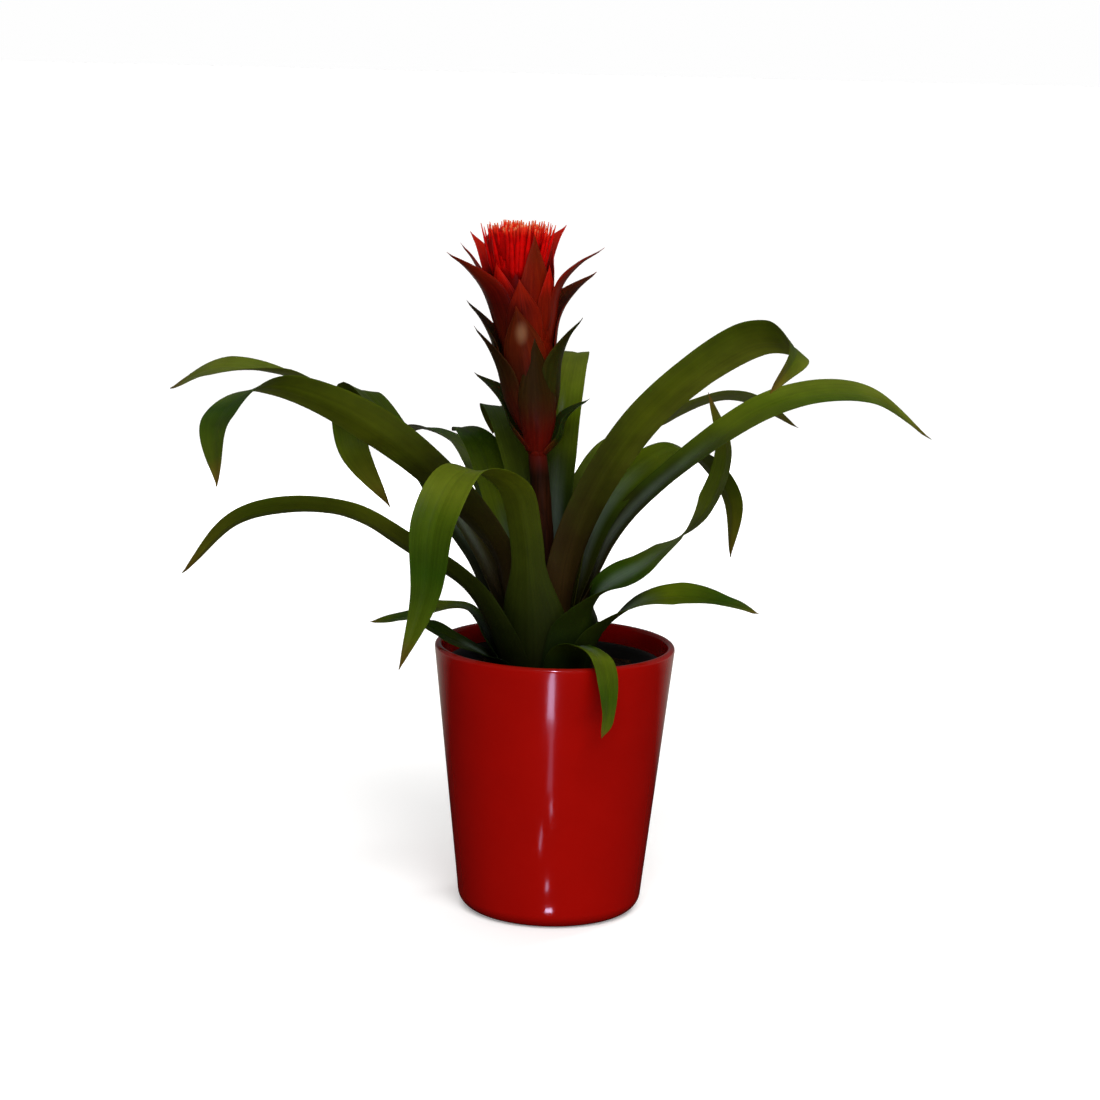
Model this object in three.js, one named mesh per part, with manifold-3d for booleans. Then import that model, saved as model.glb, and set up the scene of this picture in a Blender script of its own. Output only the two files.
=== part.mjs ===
// Guzmania in a red glazed cachepot. Millimetres, +Z up, origin under the middle of the pot's foot.
// The plant's leaves are strap blades with nested sheaths, one mesh for each leaf.
import * as THREE from 'three';
import { mergeVertices } from 'three/addons/utils/BufferGeometryUtils.js';
import Module from 'manifold-3d';

const wasm = await Module();
wasm.setup();

// Driving dimensions
const potHeight = 146;
const potRimRadius = 65;
const potFootRadius = 49;
const potFootRounding = 9;
const potWall = 4;
const potFloor = 7;
const growerWall = 1.2;
const growerRimDrop = 10;
const growerTopRadius = 57;
const growerFootRadius = 41;
const soilDrop = 6;
const seatGap = 0.3;
const plantX = -5;
const stemRadius = 7.4;
const stemDepth = 30;
const stalkRadius = 5.4;
const headBase = 116;
const headTop = 220;
const leafThickness = 0.9;
const leafSteps = 14;
const leafAcross = 6;
const baseCurl = 32;
const tipCurl = 46;
const sheathFull = 26;
const sheathEnds = 68;
const neckStarts = 85;
const neckEnds = 165;
const bractThickness = 0.8;

const growerRimZ = potHeight - growerRimDrop;
const soilZ = growerRimZ - soilDrop;
const growerFootZ = potFloor + seatGap;

// Colours read off the plant and its pot
const glazeRed = '#a01208';
const nurseryGrey = '#23262a';
const barkBrown = '#2b1d14';
const stalkBrown = '#5a2a1c';
const bractRed = '#9c1c10';
const brushRed = '#d0301c';
const leafGreens = ['#46601c', '#3c5a1e', '#566c22', '#4d6a26'];

const radians = THREE.MathUtils.degToRad;

// A sheath wraps the stem this far to each side of its midrib
const sheathWrap = radians(56);

function paint(color, roughness) {
  return new THREE.MeshStandardMaterial({ color, roughness, metalness: 0 });
}

function makeMesh(name, geometry, material) {
  const mesh = new THREE.Mesh(geometry, material);
  mesh.name = name;
  return mesh;
}

function toSolid(geometry) {
  const bare = geometry.clone();
  bare.deleteAttribute('normal');
  bare.deleteAttribute('uv');
  const merged = mergeVertices(bare, 1e-4);
  const vertProperties = new Float32Array(merged.attributes.position.array);
  const triVerts = new Uint32Array(merged.index.array);
  return new wasm.Manifold(new wasm.Mesh({ numProp: 3, vertProperties, triVerts }));
}

function toGeometry(solid) {
  const mesh = solid.getMesh();
  const geometry = new THREE.BufferGeometry();
  geometry.setAttribute('position', new THREE.BufferAttribute(mesh.vertProperties, 3));
  geometry.setIndex(new THREE.BufferAttribute(mesh.triVerts, 1));
  geometry.computeVertexNormals();
  return geometry;
}

// The union's one body, without slivers of no volume
function joined(geometries) {
  const whole = geometries.map(toSolid).reduce((body, next) => body.add(next));
  return whole.decompose().reduce((most, next) => (next.volume() > most.volume() ? next : most));
}

// Turns [radius, height] pairs about the pot's axis
function lathed(profile, sides) {
  const points = profile.map(([radius, height]) => new THREE.Vector2(radius, height));
  return new THREE.LatheGeometry(points, sides).rotateX(Math.PI / 2);
}

// Evenly spaced values read at a fraction from 0 to 1, straight between neighbours
function along(values, fraction) {
  const place = fraction * (values.length - 1);
  const first = Math.min(Math.floor(place), values.length - 2);
  return THREE.MathUtils.lerp(values[first], values[first + 1], place - first);
}

// A closed strip of leaf: rows of points across it, thickest at the midrib, the same diagonals on both faces
function stripGeometry(rows) {
  const positions = [];
  const indices = [];
  const across = rows[0].length - 1;
  const rowSize = 2 * (across + 1);
  for (const row of rows) {
    row.forEach(({ top }) => positions.push(top.x, top.y, top.z));
    row.forEach(({ under }) => positions.push(under.x, under.y, under.z));
  }
  const quad = (a, b, c, d) => indices.push(a, b, c, a, c, d);
  for (let i = 0; i < rows.length - 1; i += 1) {
    const near = i * rowSize;
    const far = near + rowSize;
    for (let j = 0; j < across; j += 1) {
      quad(near + j, far + j, far + j + 1, near + j + 1);
      const nearUnder = near + across + 1 + j;
      const farUnder = far + across + 1 + j;
      indices.push(nearUnder, farUnder + 1, farUnder, nearUnder, nearUnder + 1, farUnder + 1);
    }
    quad(near, near + across + 1, far + across + 1, far);
    quad(near + across, far + across, far + 2 * across + 1, near + 2 * across + 1);
  }
  const last = (rows.length - 1) * rowSize;
  for (let j = 0; j < across; j += 1) {
    const under = across + 1 + j;
    quad(j, j + 1, under + 1, under);
    quad(last + j, last + under, last + under + 1, last + j + 1);
  }
  const geometry = new THREE.BufferGeometry();
  geometry.setAttribute('position', new THREE.Float32BufferAttribute(positions, 3));
  geometry.setIndex(indices);
  geometry.computeVertexNormals();
  return geometry;
}

// One blade along a curve. Its cross-section is an arc that wraps the stem at the sheath and opens outward.
function bladeRows({ curve, side, steps, across, thickness, halfWidth, curl, roll }) {
  const rows = [];
  for (let i = 0; i <= steps; i += 1) {
    const fraction = i / steps;
    const centre = curve.getPointAt(fraction);
    const forward = curve.getTangentAt(fraction).normalize();
    const flat = side.clone().addScaledVector(forward, -side.dot(forward)).normalize();
    const inward = forward.clone().cross(flat);
    const twist = radians(roll(fraction));
    const sideways = flat.clone().multiplyScalar(Math.cos(twist)).addScaledVector(inward, Math.sin(twist));
    const upward = inward.clone().multiplyScalar(Math.cos(twist)).addScaledVector(flat, -Math.sin(twist));
    const radius = curl(fraction, centre);
    const row = [];
    for (let j = 0; j <= across; j += 1) {
      const offset = (2 * j) / across - 1;
      const angle = (offset * halfWidth(fraction, centre)) / radius;
      const point = centre.clone().addScaledVector(sideways, radius * Math.sin(angle));
      point.addScaledVector(upward, radius * (1 - Math.cos(angle)));
      const face = upward.clone().multiplyScalar(Math.cos(angle)).addScaledVector(sideways, -Math.sin(angle));
      const half = (thickness / 2) * (1 - 0.3 * Math.abs(offset));
      row.push({
        top: point.clone().addScaledVector(face, half),
        under: point.clone().addScaledVector(face, -half),
      });
    }
    rows.push(row);
  }
  return rows;
}

// Share of a place in the wide sheath, from its distance along a full-length leaf
function shareInSheath(reach) {
  return 1 - THREE.MathUtils.smoothstep(reach, sheathFull, sheathEnds);
}

// Strap leaf: a wide sheath, a narrower neck, full width beyond it, then a long point
function strapHalfWidth(width, reach, fromStem, fraction) {
  const tipStart = 0.62;
  const toTip = Math.max(0, (fraction - tipStart) / (1 - tipStart));
  const necked = THREE.MathUtils.lerp(0.74, 1, THREE.MathUtils.smoothstep(reach, neckStarts, neckEnds));
  const sheath = Math.min(0.8 * width, fromStem * sheathWrap);
  const full = THREE.MathUtils.lerp((width / 2) * necked, sheath, shareInSheath(reach));
  return Math.max(0.7, full * (1 - toTip ** 1.9));
}

const crown = new THREE.Vector3(plantX, 0, soilZ + seatGap);

// turn: compass direction in degrees, 0 to the right and 90 away. seat: radius of the sheath at the soil.
// spine: points of the midrib as [out, up, aside] from the middle of the crown. roll: twist along the leaf.
const leaves = [
  { name: 'leaf_back_right_inner', turn: 78, seat: 8, width: 21,
    spine: [[10, 50], [16, 105, -1], [28, 150, -2], [54, 167, -2], [88, 152, 0]],
    roll: [0, 2, 4, 4, 0, 0] },
  { name: 'leaf_right_tall', turn: 317, seat: 9.4, width: 26,
    spine: [[20, 74], [56, 140, 10], [116, 187, 20], [166, 189, -3], [175, 172, -34]],
    roll: [0, -10, -19, -28, -52, -22] },
  { name: 'leaf_back_inner', turn: 112, seat: 9.4, width: 31,
    spine: [[14, 50], [31, 100], [50, 128, 2], [78, 134, 0], [108, 114, -8]], roll: [0, 3, 6, 4, 0, 0] },
  { name: 'leaf_front', turn: 250, seat: 20.4, width: 26,
    spine: [[23.6, 18], [27, 42], [34, 82, -1], [46, 107, -4], [73, 117, -20], [91, 95, -28],
      [98, 56, -30], [112, 20, -38]],
    roll: [0, 0, 0, 0, 0, 0, 0, 0, 0] },
  { name: 'leaf_back_left_inner', turn: 128, seat: 14.4, width: 28,
    spine: [[23.5, 48, 1], [42, 92, 3], [58, 114, 2], [80, 122, -3], [102, 118, -9]],
    roll: [0, 0, 4, 4, 0, 0] },
  { name: 'leaf_right_mid', turn: 41, seat: 12, width: 26,
    spine: [[21, 50], [44, 90, 1], [92, 114, -3], [132, 84, -4], [142, 47, 4]],
    roll: [0, -2, -6, -5, 0, 0] },
  { name: 'leaf_left_tall', turn: 205, seat: 15.6, width: 26,
    spine: [[23, 43, -1], [31, 70, 1], [97, 133, 6], [161, 161, 11], [198, 150, 40], [215, 125, 90]],
    roll: [0, 8, 36, 49, 31, -16, -43] },
  { name: 'leaf_right_long', turn: 14, seat: 13.2, width: 26,
    spine: [[17, 20], [35, 72, 2], [76, 114, -2], [127, 146, -6], [177, 149, -1], [221, 122, 12]],
    roll: [0, 10, 8, 18, 27, 28] },
  { name: 'leaf_left_long', turn: 154, seat: 16.8, width: 26,
    spine: [[32, 46], [65, 90], [105, 125, 4], [148, 147, 6], [206, 150, 3], [251, 133, -14]],
    roll: [0, 2, 6, 12, 22, -12, -22] },
  { name: 'leaf_back_right_long', turn: 58, seat: 10.8, width: 26,
    spine: [[18, 50], [37, 92], [65, 116, -2], [102, 122, -4], [160, 132, -9], [214, 126, -8],
      [262, 106, -14]],
    roll: [0, -2, -8, -16, -34, -12, -2, -4] },
  { name: 'leaf_back_left', turn: 113, seat: 18.1, width: 26,
    spine: [[34, 42], [79, 82, -1], [132, 102, -2], [184, 107, 3], [234, 96, 1]],
    roll: [0, 3, 7, 12, -4, -5] },
  { name: 'leaf_left_mid', turn: 132, seat: 19.5, width: 26,
    spine: [[38, 37], [76, 69], [116, 104, 2], [158, 136, 6], [172, 104, 0], [128, 72, 6]],
    roll: [0, 2, 4, 7, 8, 30, 38] },
  { name: 'leaf_right_twisted', turn: 315, seat: 21.6, width: 26,
    spine: [[26.5, 20, 0], [32.5, 46, 6], [39, 62, 37], [38.4, 84, 80.7], [36.6, 114, 98.8],
      [29.3, 148, 91.6]],
    roll: [14, 65, 79, 74, 22, 9, 7] },
  { name: 'leaf_left_low', turn: 202, seat: 21.8, width: 26,
    spine: [[32, 26], [47, 50, 2], [77, 71, 6], [117, 93, 4], [170, 91, -1], [200, 63, -4]],
    roll: [0, 14, 24, 19, 24, 28, 34] },
  { name: 'leaf_right_low', turn: 340, seat: 23.2, width: 24,
    spine: [[31, 24], [50, 41, 2], [73, 47, 5], [98, 46, 4], [120, 44, -6]],
    roll: [0, -10, 12, 20, 4, 0] },
  { name: 'leaf_left_short', turn: 166, seat: 23.4, width: 22,
    spine: [[33, 17], [44, 31], [61, 30, 2], [79, 24], [99, 20, 1]], roll: [0, 3, 8, -10, -8, -20] },
  { name: 'leaf_front_short', turn: 295, seat: 24.8, width: 16,
    spine: [[33, 19], [51, 23], [67, 20, 1], [77, 7, 0], [82, -7, -2], [90, -15, -9]],
    roll: [0, -4, -10, -16, -21, -27, -22] },
  { name: 'leaf_left_rim', turn: 200, seat: 25.6, width: 20,
    spine: [[31, 8], [40, 14], [52, 20, 1], [64, 27, 3], [75, 33, 3]],
    roll: [0, -5, -12, -20, -22, -24] },
  { name: 'leaf_back_low', turn: 82, seat: 21.4, width: 24,
    spine: [[36, 22], [62, 42], [94, 54, 2], [128, 48, 4], [156, 28, 6]], roll: [0, 0, 6, 10, 6, 0] },
  { name: 'leaf_back_left_low', turn: 109, seat: 25.4, width: 24,
    spine: [[38, 14], [62, 26, -3], [92, 30, -6], [120, 20, -8], [142, 2, -8]],
    roll: [0, -4, -8, -8, -4, 0] },
];

function leafGeometry({ turn, seat, width, spine, roll }) {
  const out = new THREE.Vector3(Math.cos(radians(turn)), Math.sin(radians(turn)), 0);
  const side = new THREE.Vector3(-out.y, out.x, 0);
  const points = [[seat, 0], ...spine].map(([away, up, aside = 0]) => {
    const point = crown.clone().addScaledVector(out, away).addScaledVector(side, aside);
    return point.setZ(crown.z + up);
  });
  const curve = new THREE.CatmullRomCurve3(points);
  curve.arcLengthDivisions = 400;
  const length = curve.getLength();
  const reach = (fraction) => (fraction * length) / Math.min(1, length / 220);
  const fromStem = ({ x, y }) => Math.hypot(x - crown.x, y - crown.y);
  return stripGeometry(bladeRows({
    curve,
    side,
    steps: leafSteps,
    across: leafAcross,
    thickness: leafThickness,
    halfWidth: (fraction, centre) => strapHalfWidth(width, reach(fraction), fromStem(centre), fraction),
    curl: (fraction, centre) => {
      const opened = THREE.MathUtils.lerp(baseCurl, tipCurl, fraction);
      return Math.max(seat, Math.min(fromStem(centre), opened));
    },
    roll: (fraction) => along(roll, fraction) * (1 - shareInSheath(reach(fraction))),
  }));
}

// The stalk leans left as it rises, [aside, up] from the middle of the crown
const stalkLine = [[0, -stemDepth], [0, 0], [-1.5, 61], [-7, 121], [-13.5, 174], [-20.5, 226], [-22, 242]];
const stalkCurve = new THREE.CatmullRomCurve3(
  stalkLine.map(([aside, up]) => new THREE.Vector3(crown.x + aside, crown.y, crown.z + up)),
);
stalkCurve.arcLengthDivisions = 400;

// The stalk's middle at a height above the crown
function stalkAt(up) {
  let low = 0;
  let high = 1;
  for (let i = 0; i < 24; i += 1) {
    const middle = (low + high) / 2;
    if (stalkCurve.getPointAt(middle).z < crown.z + up) low = middle;
    else high = middle;
  }
  return stalkCurve.getPointAt((low + high) / 2);
}

// A round, closed body through rings given as [height above the crown, radius], on the stalk's line
function stalkBody(rings, sides) {
  const rows = [];
  rings.forEach(([up, radius]) => {
    const centre = stalkAt(up);
    for (let j = 0; j < sides; j += 1) {
      const angle = (2 * Math.PI * j) / sides;
      rows.push(centre.x + radius * Math.cos(angle), centre.y + radius * Math.sin(angle), crown.z + up);
    }
  });
  const indices = [];
  for (let i = 0; i < rings.length - 1; i += 1) {
    for (let j = 0; j < sides; j += 1) {
      const next = (j + 1) % sides;
      const a = i * sides + j;
      const b = i * sides + next;
      indices.push(a, b, b + sides, a, b + sides, a + sides);
    }
  }
  const top = (rings.length - 1) * sides;
  for (let j = 1; j < sides - 1; j += 1) {
    indices.push(0, j + 1, j);
    indices.push(top, top + j, top + j + 1);
  }
  const geometry = new THREE.BufferGeometry();
  geometry.setAttribute('position', new THREE.Float32BufferAttribute(rows, 3));
  geometry.setIndex(indices);
  geometry.computeVertexNormals();
  return geometry;
}

// A bract: it stands on the stalk's line at foot, clasps it for most of its length and flares to its tip
function bractGeometry({ turn, foot, footRadius, belly, tipOut, tipUp, width, steps = 7, across = 4 }) {
  const out = new THREE.Vector3(Math.cos(radians(turn)), Math.sin(radians(turn)), 0);
  const side = new THREE.Vector3(-out.y, out.x, 0);
  const rise = tipUp - foot;
  const bend = 0.62;
  const places = [
    [footRadius, foot],
    [belly * 0.9, foot + 0.3 * rise],
    [belly + 0.12 * (tipOut - belly), foot + bend * rise],
    [belly + 0.5 * (tipOut - belly), foot + 0.84 * rise],
    [tipOut, tipUp],
  ];
  const curve = new THREE.CatmullRomCurve3(places.map(([away, up]) => (
    stalkAt(up).addScaledVector(out, away)
  )));
  return stripGeometry(bladeRows({
    curve,
    side,
    steps,
    across,
    thickness: bractThickness,
    halfWidth: (fraction) => {
      const swell = Math.sin(Math.PI * Math.min(1, 0.22 + 0.6 * fraction) ** 0.9);
      return Math.max(0.7, (width / 2) * swell * (1 - Math.max(0, (fraction - 0.5) / 0.5) ** 1.7));
    },
    curl: (fraction) => THREE.MathUtils.lerp(Math.max(footRadius, 7), belly * 0.9, Math.min(1, fraction * 2)),
    roll: () => 0,
  }));
}

const goldenAngle = 137.5;
const firstBractTurn = 10;

// Head bracts from the lowest up, each [turn, tip out, tip up, length, width]
const headBracts = [
  [10, 31, 148, 30, 20], [147, 36, 159, 40, 24], [286, 18, 182, 63, 24], [62, 29, 181, 56, 25],
  [200, 28, 187, 60, 26], [338, 34, 193, 62, 26], [115, 30, 196, 56, 25], [264, 24, 199, 54, 26],
  [30, 48, 214, 58, 26], [168, 30, 199, 52, 25], [304, 19, 236, 62, 22], [82, 28, 220, 56, 23],
  [220, 46, 227, 58, 24], [358, 47, 229, 56, 22], [135, 34, 234, 52, 20], [272, 21, 213, 42, 20],
  [50, 43, 238, 50, 18], [188, 29, 230, 44, 18], [325, 21, 220, 40, 17], [102, 25, 233, 38, 16],
  [240, 21, 221, 38, 17], [18, 21, 228, 38, 15],
];

function headCoreRadius(up) {
  return along([4.6, 7, 11.5, 13, 13.8, 14, 14, 13.8, 13.2], (up - headBase) / (headTop - headBase));
}

function flowerHead() {
  const rings = [];
  for (let i = 0; i <= 8; i += 1) {
    const up = headBase + seatGap + ((headTop - headBase) / 8) * i;
    rings.push([up, headCoreRadius(up)]);
  }
  const pieces = [stalkBody(rings, 12)];
  headBracts.forEach(([turn, tipOut, tipUp, length, width], i) => {
    const foot = tipUp - length;
    pieces.push(bractGeometry({
      turn,
      foot,
      footRadius: Math.max(4, headCoreRadius(foot) - 1.5),
      belly: Math.min(18.5, 14.5 + 0.3 * i),
      tipOut,
      tipUp,
      width,
      steps: 5,
    }));
  });
  return joined(pieces);
}

// The stem stands in the soil, carries the leaves and goes on as the stalk, with narrow bracts against it
function flowerStalk() {
  const rings = [[-stemDepth, stemRadius * 0.8], [-stemDepth + 4, stemRadius], [-2, stemRadius]];
  rings.push([4, 6.2], [20, stalkRadius], [61, stalkRadius], [headBase, 5]);
  const pieces = [stalkBody(rings, 12)];
  for (let i = 1; i <= 4; i += 1) {
    const tipUp = headBase - 19 * i;
    pieces.push(bractGeometry({
      turn: firstBractTurn - goldenAngle * i,
      foot: tipUp - 38,
      footRadius: stalkRadius - 0.8,
      belly: stalkRadius + 1,
      tipOut: 10 - 0.5 * i,
      tipUp,
      width: 14,
      steps: 4,
    }));
  }
  return joined(pieces);
}

// Short bracts of the brush, packed by the golden angle on a low dome and fanned outward
const brushCount = 60;
const brushTop = 242;
const brushBase = headTop + 2 * seatGap;

function floretBrush() {
  const pieces = [stalkBody([[brushBase, 13.5], [brushBase + 4, 15], [brushBase + 8, 10]], 12)];
  for (let i = 0; i < brushCount; i += 1) {
    const share = Math.sqrt((i + 0.5) / brushCount);
    const turn = goldenAngle * i;
    const tipUp = brushTop - 1.5 * share * share - (i % 3);
    const foot = brushBase + 2;
    const spike = new THREE.ConeGeometry(2.7, tipUp - foot, 4).scale(1, 1, 0.62);
    spike.rotateX(Math.PI / 2).translate(0, 0, (tipUp - foot) / 2);
    spike.rotateZ(Math.PI / 2).rotateY(0.26 * share);
    spike.translate(12.5 * share, 0, 0).rotateZ(radians(turn));
    const middle = stalkAt(foot);
    pieces.push(spike.translate(middle.x, middle.y, middle.z));
  }
  return joined(pieces);
}

// Cachepot: a tapered shell with a rounded foot and a plain rounded rim
function cachepotGeometry() {
  const flare = (potRimRadius - potFootRadius) / potHeight;
  const outerAt = (height) => potFootRadius + flare * height;
  const profile = [[0, 0]];
  for (let i = 0; i <= 4; i += 1) {
    const angle = (Math.PI / 2) * (i / 4);
    const centreRadius = outerAt(potFootRounding) - potFootRounding;
    profile.push([
      centreRadius + potFootRounding * Math.sin(angle),
      potFootRounding * (1 - Math.cos(angle)),
    ]);
  }
  profile.push([outerAt(potHeight - 2), potHeight - 2], [outerAt(potHeight) - 0.6, potHeight - 0.5]);
  profile.push([outerAt(potHeight) - 2, potHeight], [outerAt(potHeight) - potWall + 0.7, potHeight - 0.6]);
  profile.push([outerAt(potHeight - 3) - potWall, potHeight - 3]);
  profile.push([outerAt(potFloor + 5) - potWall, potFloor + 5], [outerAt(potFloor) - potWall - 5, potFloor]);
  profile.push([0, potFloor]);
  return lathed(profile, 40);
}

// Nursery pot: thin tapered shell with a rolled rim and six drain holes near the edge of its floor
function growerPot() {
  const innerTop = growerTopRadius - growerWall;
  const profile = [
    [0, growerFootZ],
    [growerFootRadius, growerFootZ],
    [growerTopRadius, growerRimZ - 7],
    [growerTopRadius + 1.4, growerRimZ - 6],
    [growerTopRadius + 1.4, growerRimZ],
    [innerTop, growerRimZ],
    [growerFootRadius - growerWall, growerFootZ + growerWall],
    [0, growerFootZ + growerWall],
  ];
  let shell = toSolid(lathed(profile, 40));
  for (let i = 0; i < 6; i += 1) {
    const hole = new THREE.CylinderGeometry(5, 5, 8, 8).rotateX(Math.PI / 2);
    hole.translate(29, 0, growerFootZ).rotateZ(radians(60 * i));
    shell = shell.subtract(toSolid(hole));
  }
  return toGeometry(shell);
}

// Potting mix: fills the nursery pot, level round the plant, with a plain hole for the stem
function soilGeometry() {
  const innerTop = growerTopRadius - growerWall;
  const innerFoot = growerFootRadius - growerWall;
  const slope = (innerTop - innerFoot) / (growerRimZ - growerFootZ - growerWall);
  const insideAt = (height) => innerFoot + slope * (height - growerFootZ - growerWall) - seatGap;
  const foot = growerFootZ + growerWall + seatGap;
  const body = toSolid(lathed([
    [0, foot],
    [insideAt(foot), foot],
    [insideAt(soilZ - 1.5), soilZ - 1.5],
    [34, soilZ],
    [0, soilZ],
  ], 40));
  const hole = new THREE.CylinderGeometry(stemRadius + seatGap, stemRadius + seatGap, stemDepth + 8, 24);
  hole.rotateX(Math.PI / 2).translate(plantX, 0, soilZ - stemDepth / 2 + 4);
  return toGeometry(body.subtract(toSolid(hole)));
}

const plant = new THREE.Group();
plant.add(makeMesh('flower_stalk', toGeometry(flowerStalk()), paint(stalkBrown, 0.6)));
plant.add(makeMesh('flower_head', toGeometry(flowerHead()), paint(bractRed, 0.45)));
plant.add(makeMesh('floret_brush', toGeometry(floretBrush()), paint(brushRed, 0.5)));
leaves.forEach((leaf, i) => {
  plant.add(makeMesh(leaf.name, leafGeometry(leaf), paint(leafGreens[i % leafGreens.length], 0.42)));
});

const holder = new THREE.Group();
holder.add(makeMesh('cachepot', cachepotGeometry(), paint(glazeRed, 0.12)));
holder.add(makeMesh('grower_pot', growerPot(), paint(nurseryGrey, 0.55)));
holder.add(makeMesh('soil', soilGeometry(), paint(barkBrown, 0.95)));

const guzmania = new THREE.Group();
guzmania.add(plant, holder);

export default guzmania;
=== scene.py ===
import math
from functools import partial

import bpy
from mathutils import Matrix, Vector, noise


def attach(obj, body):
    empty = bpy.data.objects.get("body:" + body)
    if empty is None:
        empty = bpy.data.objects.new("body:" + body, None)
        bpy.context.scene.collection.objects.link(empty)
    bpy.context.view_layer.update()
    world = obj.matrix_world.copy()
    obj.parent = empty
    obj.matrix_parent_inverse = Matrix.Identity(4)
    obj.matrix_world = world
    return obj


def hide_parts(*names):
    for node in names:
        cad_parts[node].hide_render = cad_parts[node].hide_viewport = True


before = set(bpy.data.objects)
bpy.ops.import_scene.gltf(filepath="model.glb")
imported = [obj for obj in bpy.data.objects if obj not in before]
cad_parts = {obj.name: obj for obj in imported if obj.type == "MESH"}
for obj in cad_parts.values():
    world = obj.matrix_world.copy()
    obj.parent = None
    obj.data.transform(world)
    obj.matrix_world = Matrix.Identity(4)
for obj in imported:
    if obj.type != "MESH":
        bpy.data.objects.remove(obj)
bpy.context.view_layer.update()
print("frame loaded,", len(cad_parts), "nodes")

mm = 0.001
goldenAngle = 137.5

# sizes that several pieces share
pot = {
    "height": 146, "rimRadius": 65, "footRadius": 49, "footRounding": 9, "wall": 4, "floor": 7,
    "floorRounding": 5, "footRecess": 0.8, "footRing": 34, "ringSlope": 3, "ringEdge": 1.2,
    "bareHeight": 0.9, "bareRadius": 42, "sides": 192,
}
nurseryPot = {
    "wall": 1.2, "rimDrop": 10, "topRadius": 57, "footRadius": 41, "rimDepth": 6, "lip": 1.4, "sides": 128,
    "holes": 6, "holeRadius": 5, "holeRing": 29, "holeSides": 24, "drillFrom": -4, "drillTo": 6,
}
crown = {"x": -5, "soilDrop": 6, "seatGap": 0.3}
nurseryRimZ = pot["height"] - nurseryPot["rimDrop"]
nurseryFootZ = pot["floor"] + crown["seatGap"]
soilZ = nurseryRimZ - crown["soilDrop"]
crownZ = soilZ + crown["seatGap"]


def linearColour(hexCode):
    # sRGB hex to the linear colour that shaders take
    parts = [int(hexCode[i:i + 2], 16) / 255 for i in (1, 3, 5)]
    return [c / 12.92 if c <= 0.04045 else ((c + 0.055) / 1.055) ** 2.4 for c in parts] + [1.0]


def addNode(tree, kind, inputs=(), stops=(), **settings):
    # a node with its settings, ramp stops, values and links. inputs go by name in a dictionary, or else in
    # the order of the sockets that it shows. gives its output, or all of them where it shows several
    families = ("ShaderNode", "GeometryNode", "FunctionNode", "")
    node = tree.nodes.new(next(family + kind for family in families if hasattr(bpy.types, family + kind)))
    for name, value in settings.items():
        setattr(node, name, value)
    if stops:
        elements = node.color_ramp.elements
        while len(elements) < len(stops):
            elements.new(0.5)
        for element, (place, hexCode) in zip(elements, stops):
            element.position = place
            element.color = linearColour(hexCode)
    shown = [socket for socket in node.inputs if socket.enabled]
    if isinstance(inputs, dict):
        shown = [next(socket for socket in shown if socket.name == name) for name in inputs]
        inputs = inputs.values()
    for socket, value in zip(shown, inputs):
        for part in value if isinstance(value, list) else [value]:
            if isinstance(part, bpy.types.NodeSocket):
                tree.links.new(part, socket)
            else:
                socket.default_value = linearColour(part) if str(part).startswith("#") else part
    results = [socket for socket in node.outputs if socket.enabled]
    return results[0] if len(results) == 1 else node.outputs


eased = {"interpolation_type": "SMOOTHSTEP"}


def newGeometryTree(name, inputs):
    # inputs by name: a first value, or the kind of socket where it starts empty. gives the tree, the
    # function that adds to it, and its inputs
    kinds = {int: "Int", float: "Float", tuple: "Vector"}
    tree = bpy.data.node_groups.new(name, "GeometryNodeTree")
    for label, value in inputs.items():
        kind = "NodeSocket" + kinds.get(type(value), str(value))
        socket = tree.interface.new_socket(label, in_out="INPUT", socket_type=kind)
        if not isinstance(value, str):
            socket.default_value = value
    tree.interface.new_socket("Result", in_out="OUTPUT", socket_type="NodeSocketGeometry")
    return tree, partial(addNode, tree), addNode(tree, "NodeGroupInput")


def meshThroughTree(name, host, tree, values):
    # runs the tree on the host object and keeps the result as a plain mesh object
    modifier = host.modifiers.new("shape", "NODES")
    modifier.node_group = tree
    for socket in tree.interface.items_tree:
        if socket.in_out == "INPUT" and socket.name in values:
            modifier[socket.identifier] = values[socket.name]
    bpy.context.view_layer.update()
    shaped = host.evaluated_get(bpy.context.evaluated_depsgraph_get())
    mesh = bpy.data.meshes.new_from_object(shaped)
    bpy.data.objects.remove(host)
    return placeObject(name, mesh)


def placeObject(name, data):
    data.name = name
    piece = bpy.data.objects.new(name, data)
    bpy.context.scene.collection.objects.link(piece)
    return piece


def joinMeshes(name, pieces):
    # one object from several, with their materials and attributes
    with bpy.context.temp_override(active_object=pieces[0], selected_editable_objects=pieces):
        bpy.ops.object.join()
    pieces[0].name = name
    pieces[0].data.name = name
    return pieces[0]


def newMesh(name, verts, edges, faces):
    # points in millimetres
    mesh = bpy.data.meshes.new(name)
    mesh.from_pydata([[c * mm for c in v] for v in verts], edges, faces)
    return mesh


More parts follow.
